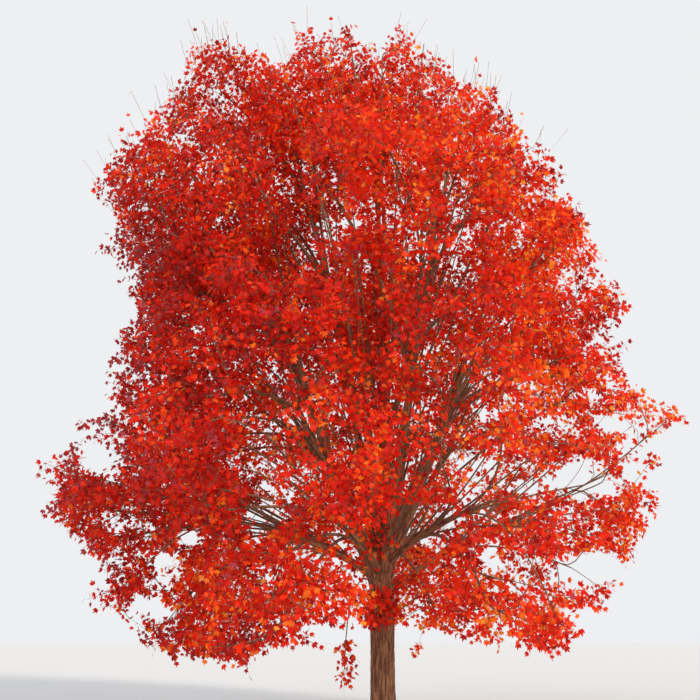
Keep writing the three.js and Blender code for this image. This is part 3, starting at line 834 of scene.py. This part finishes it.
def grow_mass(growth, mass, number, points):
    """A stem along the mass's own path, then a twig to each point from the wood that is there."""
    wood = start_wood(growth, mass, number, len(points) * len(TWIG_NODES))
    gap = SHOOT_GAP if mass.name in SHOOTS else SPRAY_GAP
    ends = np.full((len(points) + 1, 3), np.inf)
    grown = 0
    for point in points:
        if np.min(np.sum((ends[: grown + 1] - point) ** 2, axis=1)) < gap**2:
            continue
        root = wood.root_for(point)
        if root is not None:
            grow_twig(growth, wood, root, point, number)
            ends[grown] = point
            grown += 1


def grow_whips(growth, number, count, random):
    """Bare shoots that stand up from the highest and outermost twigs of a mass."""
    twigs = [k for k, mass in enumerate(growth.masses) if mass == number and growth.orders[k] > 0]
    twigs.sort(key=lambda k: -growth.tips[k] @ (UP + WHIP_OUTER * outward(growth.tips[k])))
    for twig in twigs[: count * WHIP_EVERY : WHIP_EVERY]:
        foot = growth.tips[twig]
        heading = unit(foot - growth.pulls[twig])
        reach = mix(*WHIP_LENGTH, random.random())
        lean = WHIP_LEAN * heading + WHIP_SPLAY * outward(foot) + random.normal(0, WHIP_STRAY, 3)
        pull, tip = foot + heading * reach * WHIP_PULL, foot + unit(UP + lean) * reach
        growth.add(foot, pull, tip, twig, 1.0, BARE, number)


def grow_crown(masses, foliage):
    growth = Growth()
    random = np.random.default_rng(WHIP_SEED)
    for number, mass in enumerate(masses, 1):
        grow_mass(growth, mass, number - 1, spray_points(mass, number, masses, foliage))
        grow_whips(growth, number - 1, WHIPS.get(mass.tier, 0), random)
    growth.settle()
    return growth


def inner_masses(boughs):
    """A space round each bough and round the leader, for the shoots that grow on the limb itself."""
    limbs = {name: path for name, (_, path, _) in boughs.items()}
    foot, tip = trunk_axis(LEADER_FROM), trunk_axis(TRUNK_TOP)
    limbs["leader"] = Path(foot, (foot + tip) / 2, tip)
    made = []
    for name, path in limbs.items():
        plan = INNER[limb_kind(name)]
        made.append(Mass(name, "inner", path, path.at(plan["start"])[0], path.tip, plan["girth"]))
    for height, turn, out, top, girth in FORK_SHOOTS:
        foot, tip = trunk_axis(height), around(out, turn, top)
        path = Path(foot, mix(foot, tip, SHOOT_BEND), tip)
        made.append(Mass("fork_shoot", "fork", path, path.at(SHOOT_BARE)[0], tip, girth))
    return made


def twig_radii(growth, end):
    """Each twig's radius at even shares of its length, from the number of sprays beyond."""
    loads = np.ones((len(growth.feet), len(RING_SHARES)))
    for twig in range(len(growth.feet) - 1, 0, -1):
        parent = growth.parents[twig]
        if parent >= 0:
            loads[parent, RING_SHARES <= growth.shares[twig]] += loads[twig, 0]
    radii = end * loads**PIPE_POWER
    radii[growth.orders == BARE] *= WHIP_GIRTH
    radii[growth.orders == 0] *= LIMB_GIRTH
    radii[growth.limbs] = np.maximum(radii[growth.limbs], mix(LIMB_FOOT, LIMB_TIP, RING_SHARES))
    return radii


# Meshes


def add_object(name, data):
    made = bpy.data.objects.new(name, data)
    bpy.context.scene.collection.objects.link(made)
    return made


def mesh_from(bm, name):
    mesh = bpy.data.meshes.new(name)
    bm.to_mesh(mesh)
    bm.free()
    return mesh


def finish_mesh(name, mesh, material, smooth):
    mesh.materials.append(material)
    mesh.polygons.foreach_set("use_smooth", np.full(len(mesh.polygons), smooth))
    mesh.update()
    return add_object(name, mesh)


def piece_from_arrays(name, points, triangles, material, smooth):
    mesh = bpy.data.meshes.new(name)
    mesh.vertices.add(len(points))
    mesh.vertices.foreach_set("co", points.astype(np.float32).ravel())
    mesh.loops.add(triangles.size)
    mesh.loops.foreach_set("vertex_index", triangles.astype(np.int32).ravel())
    mesh.polygons.add(len(triangles))
    mesh.polygons.foreach_set("loop_start", np.arange(0, triangles.size, 3, dtype=np.int32))
    mesh.update(calc_edges=True)
    return finish_mesh(name, mesh, material, smooth)


def limb_piece(name, sides, rings, place, material):
    """A closed limb. place gives the points for shares of its length and angles round it, and how far
    round and along the bark each lies, so that the bark's pattern follows the limb."""
    bm = bmesh.new()
    bmesh.ops.create_grid(bm, x_segments=sides, y_segments=rings, size=0.5)
    flat = np.array([vert.co[:2] for vert in bm.verts]) + 0.5
    angles, shares = flat[:, 0] * math.tau, flat[:, 1]
    points, barks = place(shares, angles)
    layer = bm.verts.layers.float_vector.new(BARK_PLACE)
    for vert, point, bark in zip(bm.verts, points, barks):
        vert.co = point
        vert[layer] = bark
    bmesh.ops.remove_doubles(bm, verts=bm.verts, dist=WELD)
    bmesh.ops.holes_fill(bm, edges=[edge for edge in bm.edges if edge.is_boundary])
    bmesh.ops.recalc_face_normals(bm, faces=bm.faces)
    return finish_mesh(name, mesh_from(bm, name), material, True)


def bark_relief(barks, depth):
    """How far the bark stands out at each place: long plates that part and join again."""
    drawn_out = barks * np.array([1, 1, PLATE_RUN])
    waves = WAVE_REACH * rippled(drawn_out, WAVE_WIDTH, SEEDS["waves"])[:, None]
    plates = 1 - PLATE_SLOPE * np.abs(rippled(drawn_out + waves, PLATE_WIDTH, SEEDS["plates"]))
    grain = rippled(barks * np.array([1, 1, GRAIN_RUN]), GRAIN_WIDTH, SEEDS["grain"])
    return depth * (np.clip(plates, FURROW_FLOOR, 1) + GRAIN_DEPTH * grain)


def bark_radius(radius, barks, relief):
    """A limb's radius with the bark's relief on it, shallower on a thin limb."""
    depth = relief * np.clip(radius / FULL_RELIEF, LEAST_RELIEF, 1)
    return radius + bark_relief(barks, depth) - depth / 2


def round_limb(radius, angles, along):
    return np.stack([radius * np.cos(angles), radius * np.sin(angles), along], axis=1)


# Materials


def new_material(name):
    material = bpy.data.materials.new(name)
    material.use_nodes = True
    tree = material.node_tree
    return material, tree, tree.nodes["Principled BSDF"]


def set_inputs(node, values):
    """Each input gets its value, or a link from the socket that gives it."""
    for name, value in values.items():
        if isinstance(value, bpy.types.NodeSocket):
            node.id_data.links.new(value, node.inputs[name])
        else:
            node.inputs[name].default_value = value


def add_node(tree, kind, values=None, **settings):
    """A new node's outputs."""
    node = tree.nodes.new(f"ShaderNode{kind}")
    for name, value in settings.items():
        setattr(node, name, value)
    set_inputs(node, values or {})
    return node.outputs


def spread_out(tree, value, levels, span=(0.0, 1.0)):
    """A value between two levels, carried over to another span."""
    ends = dict(zip(("From Min", "From Max", "To Min", "To Max"), (*levels, *span)))
    return add_node(tree, "MapRange", {"Value": value, **ends})["Result"]


def blend_colours(tree, share, cool, warm):
    return add_node(tree, "Mix", {0: share, 6: cool, 7: warm}, data_type="RGBA")[2]


def opaque(rgb):
    return (*rgb, 1.0)


def add_sockets(group, way, **kinds):
    for name, kind in kinds.items():
        group.interface.new_socket(name, in_out=way, socket_type=f"NodeSocket{kind}")


def weathered_bark_group():
    """Plates and furrows along a limb, with pale patches: a colour, a roughness and a height."""
    group = bpy.data.node_groups.new("weathered_bark", "ShaderNodeTree")
    colours = dict(Ridge="Color", Furrow="Color", Patch="Color")
    add_sockets(group, "INPUT", Place="Vector", Fineness="Float", **colours, Patches="Float")
    add_sockets(group, "OUTPUT", Color="Color", Roughness="Float", Height="Float")
    given = group.nodes.new("NodeGroupInput").outputs
    along = add_node(group, "Mapping", {"Vector": given["Place"], "Scale": BARK_RUN})[0]
    plates = add_node(
        group, "TexNoise", {"Vector": along, "Scale": given["Fineness"], **PLATE_NOISE}
    )["Fac"]
    fibres = add_node(group, "TexNoise", {"Vector": along, **FIBRE_NOISE})["Fac"]
    broad = add_node(group, "TexNoise", {"Vector": given["Place"], **PATCH_NOISE})["Fac"]
    ridges = spread_out(group, plates, PLATE_LEVELS)
    patch = spread_out(group, broad, PATCH_LEVELS, (0.0, given["Patches"]))
    # the colour is darker on the floor of the furrows and paler on the ridges, following the raised pattern
    ridge_furrow_tone = blend_colours(group, ridges, given["Furrow"], given["Ridge"])
    tone = spread_out(group, fibres, FIBRE_LEVELS, FIBRE_TONES)
    toned = add_node(group, "VectorMath", {0: ridge_furrow_tone, 1: tone}, operation="MULTIPLY")[0]
    height = {0: fibres, 1: FIBRE_HEIGHT, 2: ridges}
    set_inputs(group.nodes.new("NodeGroupOutput"), {
        "Color": blend_colours(group, patch, toned, given["Patch"]),
        "Roughness": spread_out(group, fibres, (0.0, 1.0), FIBRE_ROUGHNESS),
        "Height": add_node(group, "Math", height, operation="MULTIPLY_ADD")[0],
    })
    return group


def bark_material(name, bark, ridge, place):
    """Bark, with its pattern in the space that the function place gives."""
    material, tree, shader = new_material(name)
    plan = BARKS[name]
    pattern = add_node(tree, "Group", {
        "Place": place(tree),
        "Fineness": plan["fineness"],
        "Ridge": opaque(ridge),
        "Furrow": opaque(bark.furrow),
        "Patch": opaque(bark.lichen),
        "Patches": plan["patches"],
    }, node_tree=bpy.data.node_groups.get("weathered_bark") or weathered_bark_group())
    bump = {"Height": pattern["Height"], "Strength": plan["bump"], "Distance": BUMP_HEIGHT}
    set_inputs(shader, {
        "Base Color": pattern["Color"],
        "Roughness": pattern["Roughness"],
        "Normal": add_node(tree, "Bump", bump)["Normal"],
    })
    return material


def place_on_limb(tree):
    """Where a point lies round and along its limb, as the mesh says."""
    return add_node(tree, "Attribute", attribute_name=BARK_PLACE)["Vector"]


def place_in_space(tree):
    return add_node(tree, "TexCoord")["Object"]


def leaf_material(tint, rgb):
    """A thin blade: some light stays on the side that it falls on, and more shines through."""
    material, tree, shader = new_material(f"leaf_{tint}")
    set_inputs(shader, {
        "Base Color": opaque(rgb),
        "Roughness": LEAF_ROUGHNESS,
        "Specular IOR Level": LEAF_SHINE,
    })
    lit = [min(1, value * gain + more) for value, gain, more in zip(rgb, GLOW_GAINS, GLOW_ADDED)]
    glow = add_node(tree, "BsdfTranslucent", {"Color": opaque(lit)})[0]
    both = add_node(tree, "MixShader", {0: LEAF_GLOW, 1: shader.outputs[0], 2: glow})[0]
    set_inputs(tree.nodes["Material Output"], {"Surface": both})
    return material


# Pieces


def settle_piece(piece, slot, nodes):
    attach(piece, "root")
    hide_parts(*nodes)


def trunk_place(bark):
    """How the trunk's grid is placed, with buttresses at the ground and plates of bark."""
    heights, radii = np.array(TRUNK_RINGS).T

    def place(shares, angles):
        level = TRUNK_TOP * shares**RING_CROWDING
        radius = np.interp(level, heights, radii)
        radius = radius * (1 + FLARE_DEPTH * np.cos(FLARE_LOBES * angles) * np.exp(-level / FLARE_FADE))
        barks = round_limb(radius, angles, level)
        rough = bark_radius(radius, barks, bark.relief)
        return trunk_axis(level) + round_limb(rough, angles, 0 * level), barks

    return place


def frames_along(headings):
    """Two directions square to each heading, which turn as little as they can along the path."""
    normals = [unit(np.cross(headings[0], UP if abs(headings[0][2]) < STEEP else ACROSS))]
    for heading in headings[1:]:
        normals.append(unit(normals[-1] - heading * normals[-1].dot(heading)))
    normals = np.array(normals)
    return normals, np.cross(headings, normals)


def bough_place(path, radii, rings, bark):
    """How a bough's grid is placed, with a collar where it leaves its parent."""
    steps = np.linspace(0, 1, rings + 1)
    centres, headings = path.at(steps), path.heading(steps)
    normals, binormals = frames_along(headings)

    def place(shares, angles):
        ring = np.rint(shares * rings).astype(int)
        along = shares * path.length
        radius = mix(*radii, shares**BOUGH_TAPER)
        radius = radius * (1 + COLLAR_SWELL * np.exp(-(((along - COLLAR_PLACE) / COLLAR_WIDTH) ** 2)))
        radius = radius * np.where(ring == rings, BOUGH_END, 1)
        barks = round_limb(radius, angles, along)
        x, y, _ = round_limb(bark_radius(radius, barks, bark.relief), angles, along).T
        return centres[ring] + x[:, None] * normals[ring] + y[:, None] * binormals[ring], barks

    return place


def twig_tubes(growth, which, sides, rings, radii):
    """Closed tubes of a few faces along some of the twigs, as points and triangles."""
    steps = np.linspace(0, 1, rings + 1)
    centres, headings = [
        np.stack([read(which, np.full(len(which), s)) for s in steps], axis=1)
        for read in (growth.at, growth.heading)
    ]
    guide = np.where(np.abs(headings[:, :1, 2:]) < STEEP, UP, ACROSS)
    normals = unit(np.cross(headings, guide))
    binormals = np.cross(headings, normals)
    girths = np.stack([
        [np.interp(s, RING_SHARES, radii[twig]) for s in steps] for twig in which
    ])[:, :, None, None]
    turns = np.arange(sides) * math.tau / sides
    spokes = (
        np.cos(turns)[:, None] * normals[:, :, None] + np.sin(turns)[:, None] * binormals[:, :, None]
    )
    points = centres[:, :, None] + girths * spokes
    pattern = tube_triangles(sides, rings)
    starts = np.arange(len(which)) * sides * (rings + 1)
    return points.reshape(-1, 3), (starts[:, None, None] + pattern).reshape(-1, 3)


def tube_triangles(sides, rings):
    faces = []
    for ring in range(rings):
        for side in range(sides):
            a, b = ring * sides + side, ring * sides + (side + 1) % sides
            faces += [(a, b, b + sides), (a, b + sides, a + sides)]
    last = rings * sides
    for side in range(1, sides - 1):
        faces += [(0, side + 1, side), (last, last + side, last + side + 1)]
    return np.array(faces)


def leaf_places(growth, random):
    """For every leaf of every spray: its twig, where its stalk starts, and the way that goes."""
    sprays = np.flatnonzero((growth.orders > 0) & (growth.orders < BARE))
    lone = np.flatnonzero(growth.orders == BARE)[::WHIP_LEAF_EVERY]
    twigs = np.concatenate([np.repeat(sprays, len(LEAF_PAIRS)), lone])
    pairs = np.concatenate([np.tile(np.array(LEAF_PAIRS), (len(sprays), 1)), np.zeros((len(lone), 2))])
    back, turn = pairs.T
    shares = 1 - back / growth.lengths[twigs]
    keep = shares > BARE_FOOT
    twigs, back, turn, shares = twigs[keep], back[keep], turn[keep], shares[keep]
    heading = growth.heading(twigs, shares)
    first = random.random(len(growth.feet))[twigs] * math.tau
    side = unit(np.cross(heading, ASKEW))
    over = np.cross(heading, side)
    angle = (np.radians(turn) + first)[:, None]
    aside = np.cos(angle) * side + np.sin(angle) * over
    splay = np.where(back > 0, SIDE_SPLAY, END_SPLAY)[:, None]
    return twigs, growth.at(twigs, shares), unit(heading + splay * aside)


def leaf_arrays(starts, stalks, foliage, random):
    """The points and triangles of leaves: a blade in its own outline, on a sliver of a stalk."""
    count = len(starts)
    forward = unit(FOLLOW * stalks + STRAY * random.normal(size=(count, 3)) - HANG * UP)
    face = FACE_UP * UP + FACE_OUT * outward(starts) + FACE_STRAY * random.normal(size=(count, 3))
    face = unit(face - np.sum(face * forward, axis=1, keepdims=True) * forward)
    side = np.cross(face, forward)
    size = foliage.leaf * np.clip(random.normal(1, LEAF_SPREAD, count), *LEAF_SIZES)[:, None, None]
    curl = random.uniform(*LEAF_CURL, count)[:, None]
    x, y = np.array(LEAF_OUTLINE, float).T
    lift = LEAF_FOLD * np.abs(y) - curl * (CURL_ALONG * x**2 + CURL_ACROSS * y**2)
    base = starts + stalks * foliage.petiole * random.uniform(*STALK_SIZES, count)[:, None]
    blade = base[:, None] + size * (
        x[:, None] * forward[:, None] + y[:, None] * side[:, None] + lift[..., None] * face[:, None]
    )
    half_width = STALK_WIDTH * side
    stalk = np.stack([starts, base + half_width, base - half_width], axis=1)
    points = np.concatenate([blade, stalk], axis=1)
    corners = len(LEAF_OUTLINE)
    fan = [(0, k + 1, k) for k in range(1, corners - 1)] + [(corners, corners + 1, corners + 2)]
    faces = np.arange(count)[:, None, None] * points.shape[1] + np.array(fan)
    return points, faces


def warmth_of(points, random):
    """0 for the coolest spray and 1 for the warmest, by its place in the crown, its patch and chance.
    By place the tints carry painted light: warmer on the right and between the sides, cooler at the left
    edge.
    """
    across = np.clip(points[:, 0] / CROWN_HALF_WIDTH, -1, 1)
    height = np.clip((points[:, 2] - CROWN_MIDDLE) / CROWN_HALF_HEIGHT, -1, 1)
    patches = rippled(points, PATCH_WIDTH, SEEDS["patches"])
    patches += SPECK_WEIGHT * rippled(points, SPECK_WIDTH, SEEDS["specks"])
    # painted light: warmer tints on the right and between the sides, and painted shade at the left edge
    place = PAINTED_SUN_RIGHT * across + PAINTED_LIGHT_MIDDLE * (1 - np.abs(across)) - WARM_FOOT * height
    return WARMTH + place + WARM_PATCH * patches + random.normal(0, WARM_CHANCE, len(points))


def tint_numbers(growth, masses, twigs, random):
    """Each leaf's tint: its spray's, or one close to that."""
    shoots = [number for number, mass in enumerate(masses) if mass.name in SHOOTS]
    warmth = warmth_of(growth.tips, random) + WARM_SHOOT * np.isin(growth.masses, shoots)
    warmth = warmth[twigs] + random.normal(0, WARM_LEAF, len(twigs))
    return np.clip(warmth * len(TINTS), 0, len(TINTS) - 1).astype(int)


# Operators


CROWN = {}  # the crown once it is grown, as the twigs and the leaves both need it


def names_of(masses, numbers):
    """The nodes that these masses stand for. A bough's own shoots stand for none."""
    return sorted({masses[number].name for number in numbers if masses[number].tier not in OWN_TIERS})


def on_left(growth):
    """Which twigs end in the left half of the crown. Each half has as many."""
    return growth.tips[:, 0] < np.median(growth.tips[:, 0])


def crown_growth(context):
    """The crown's masses and twigs, grown once for the pieces that need them."""
    if not CROWN:
        boughs = plan_boughs()
        masses = plan_masses(boughs)
        share_out_fan(masses)
        masses += inner_masses(boughs)
        CROWN["masses"] = masses
        CROWN["growth"] = grow_crown(masses, context.scene.maple_foliage)
    return CROWN["masses"], CROWN["growth"]


class MAPLE_OT_trunk(bpy.types.Operator):
    """Add the trunk with its root flare and furrowed bark"""

    bl_idname = "maple.trunk"
    bl_label = "Trunk"

    def execute(self, context):
        bark = context.scene.maple_bark
        material = bark_material("old_bark", bark, bark.ridge, place_on_limb)
        sides = bark.ridges * SIDES_TO_RIDGE
        piece = limb_piece("trunk_bark", sides, TRUNK_STEPS, trunk_place(bark), material)
        settle_piece(piece, "bark", ["trunk"])
        return {"FINISHED"}


class MAPLE_OT_boughs(bpy.types.Operator):
    """Add the boughs, each with a collar at its foot"""

    bl_idname = "maple.boughs"
    bl_label = "Boughs"

    def execute(self, context):
        bark = context.scene.maple_bark
        material = bark_material("young_bark", bark, bark.ridge, place_on_limb)
        for name, (_, path, plan) in plan_boughs().items():
            rings = int(path.length / BOUGH_STEP)
            place = bough_place(path, plan["radii"], rings, bark)
            piece = limb_piece(f"{name}_bark", BOUGH_SIDES, rings, place, material)
            settle_piece(piece, "bark", [name])
        return {"FINISHED"}


class MAPLE_OT_twigs(bpy.types.Operator):
    """Add the branches and fine twigs of every mass"""

    bl_idname = "maple.twigs"
    bl_label = "Branches and twigs"

    def execute(self, context):
        bark = context.scene.maple_bark
        masses, growth = crown_growth(context)
        radii = twig_radii(growth, bark.twig_end)
        material = bark_material("twig_bark", bark, bark.twig, place_in_space)
        orders, left = growth.orders, on_left(growth)
        kinds = {
            "branches": orders == 0,
            "branchlets": orders == 1,
            "twigs": orders == 2,
            "fine_twigs_left": (orders > 2) & left,
            "fine_twigs_right": (orders > 2) & ~left,
        }
        for name, chosen in kinds.items():
            which = np.flatnonzero(chosen)
            points, faces = twig_tubes(growth, which, *TWIG_FACES[name], radii)
            piece = piece_from_arrays(name, points, faces, material, True)
            settle_piece(piece, "bark", names_of(masses, growth.masses[which]))
        return {"FINISHED"}


class MAPLE_OT_leaves(bpy.types.Operator):
    """Add the leaves, a piece for each tint on each side of the crown"""

    bl_idname = "maple.leaves"
    bl_label = "Leaves"

    def execute(self, context):
        foliage = context.scene.maple_foliage
        masses, growth = crown_growth(context)
        random = np.random.default_rng(LEAF_SEED)
        twigs, starts, stalks = leaf_places(growth, random)
        points, faces = leaf_arrays(starts, stalks, foliage, random)
        tint_of = tint_numbers(growth, masses, twigs, random)
        left = on_left(growth)[twigs]
        for number, (tint, slot) in enumerate(TINTS.items()):
            material = leaf_material(tint, getattr(foliage, tint))
            for side, there in (("left", left), ("right", ~left)):
                chosen = np.flatnonzero((tint_of == number) & there)
                piece = piece_from_arrays(
                    f"leaves_{tint}_{side}",
                    points[chosen].reshape(-1, 3),
                    faces[: len(chosen)].reshape(-1, 3),
                    material,
                    False,
                )
                settle_piece(piece, slot, names_of(masses, growth.masses[np.unique(twigs[chosen])]))
        return {"FINISHED"}


class MAPLE_OT_studio(bpy.types.Operator):
    """Add the floor, the lights and the camera"""

    bl_idname = "maple.studio"
    bl_label = "Studio"

    def execute(self, context):
        studio = context.scene.maple_studio
        self.add_floor(studio)
        self.add_sun("key_light", studio.key, **KEY_LIGHT)
        self.add_sun("fill_light", studio.fill, **FILL_LIGHT)
        self.add_air(context.scene, studio)
        self.add_camera(context.scene, studio)
        context.scene.view_settings.view_transform = "Standard"
        return {"FINISHED"}

    def add_floor(self, studio):
        bm = bmesh.new()
        bmesh.ops.create_grid(bm, x_segments=1, y_segments=1, size=studio.floor / 2)
        paper, _, shader = new_material("paper")
        set_inputs(shader, {"Base Color": opaque(studio.paper), "Roughness": PAPER_ROUGHNESS})
        finish_mesh("floor", mesh_from(bm, "floor"), paper, False)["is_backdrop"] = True

    def add_air(self, scene, studio):
        world = bpy.data.worlds.new("air")
        world.use_nodes = True
        air = {"Color": opaque(AIR_COLOUR), "Strength": studio.air}
        set_inputs(world.node_tree.nodes["Background"], air)
        scene.world = world

    def add_camera(self, scene, studio):
        lens = bpy.data.cameras.new("camera")
        lens.sensor_width = SENSOR_WIDTH
        lens.lens = studio.lens
        lens.clip_end = FURTHEST_SEEN
        scene.camera = add_object("camera", lens)
        scene.camera.location = studio.eye
        scene.camera.rotation_euler = (math.pi / 2 + studio.pitch, 0, 0)

    def add_sun(self, name, strength, rgb, place, softness):
        light = bpy.data.lights.new(name, "SUN")
        light.energy = strength
        light.color = rgb
        light.angle = softness
        add_object(name, light).rotation_euler = Vector(place).to_track_quat("Z", "Y").to_euler()


class MAPLE_PT_panel(bpy.types.Panel):
    """Build the maple piece by piece"""

    bl_idname = "MAPLE_PT_panel"
    bl_label = "Maple"
    bl_space_type = "VIEW_3D"
    bl_region_type = "UI"
    bl_category = "Maple"

    def draw(self, context):
        column = self.layout.column()
        for operator in OPERATORS:
            column.operator(operator.bl_idname)
        for name in SETTINGS:
            group = getattr(context.scene, name)
            for key in group.__annotations__:
                column.prop(group, key)


SETTINGS = {"maple_bark": MapleBark, "maple_foliage": MapleFoliage, "maple_studio": MapleStudio}
OPERATORS = (MAPLE_OT_studio, MAPLE_OT_trunk, MAPLE_OT_boughs, MAPLE_OT_twigs, MAPLE_OT_leaves)


def register():
    for one in (*SETTINGS.values(), *OPERATORS, MAPLE_PT_panel):
        bpy.utils.register_class(one)
    for name, group in SETTINGS.items():
        setattr(bpy.types.Scene, name, PointerProperty(type=group))


def unregister():
    for name in SETTINGS:
        delattr(bpy.types.Scene, name)
    for one in reversed((*SETTINGS.values(), *OPERATORS, MAPLE_PT_panel)):
        bpy.utils.unregister_class(one)


def main():
    register()
    bpy.ops.maple.studio()
    bpy.ops.maple.trunk()
    bpy.ops.maple.boughs()
    bpy.ops.maple.twigs()
    bpy.ops.maple.leaves()
    boxes = {"cad": CAD_BOX, "visual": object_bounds()}
    {name: [list(corner) for corner in box] for name, box in boxes.items()}


if __name__ == "__main__":
    main()
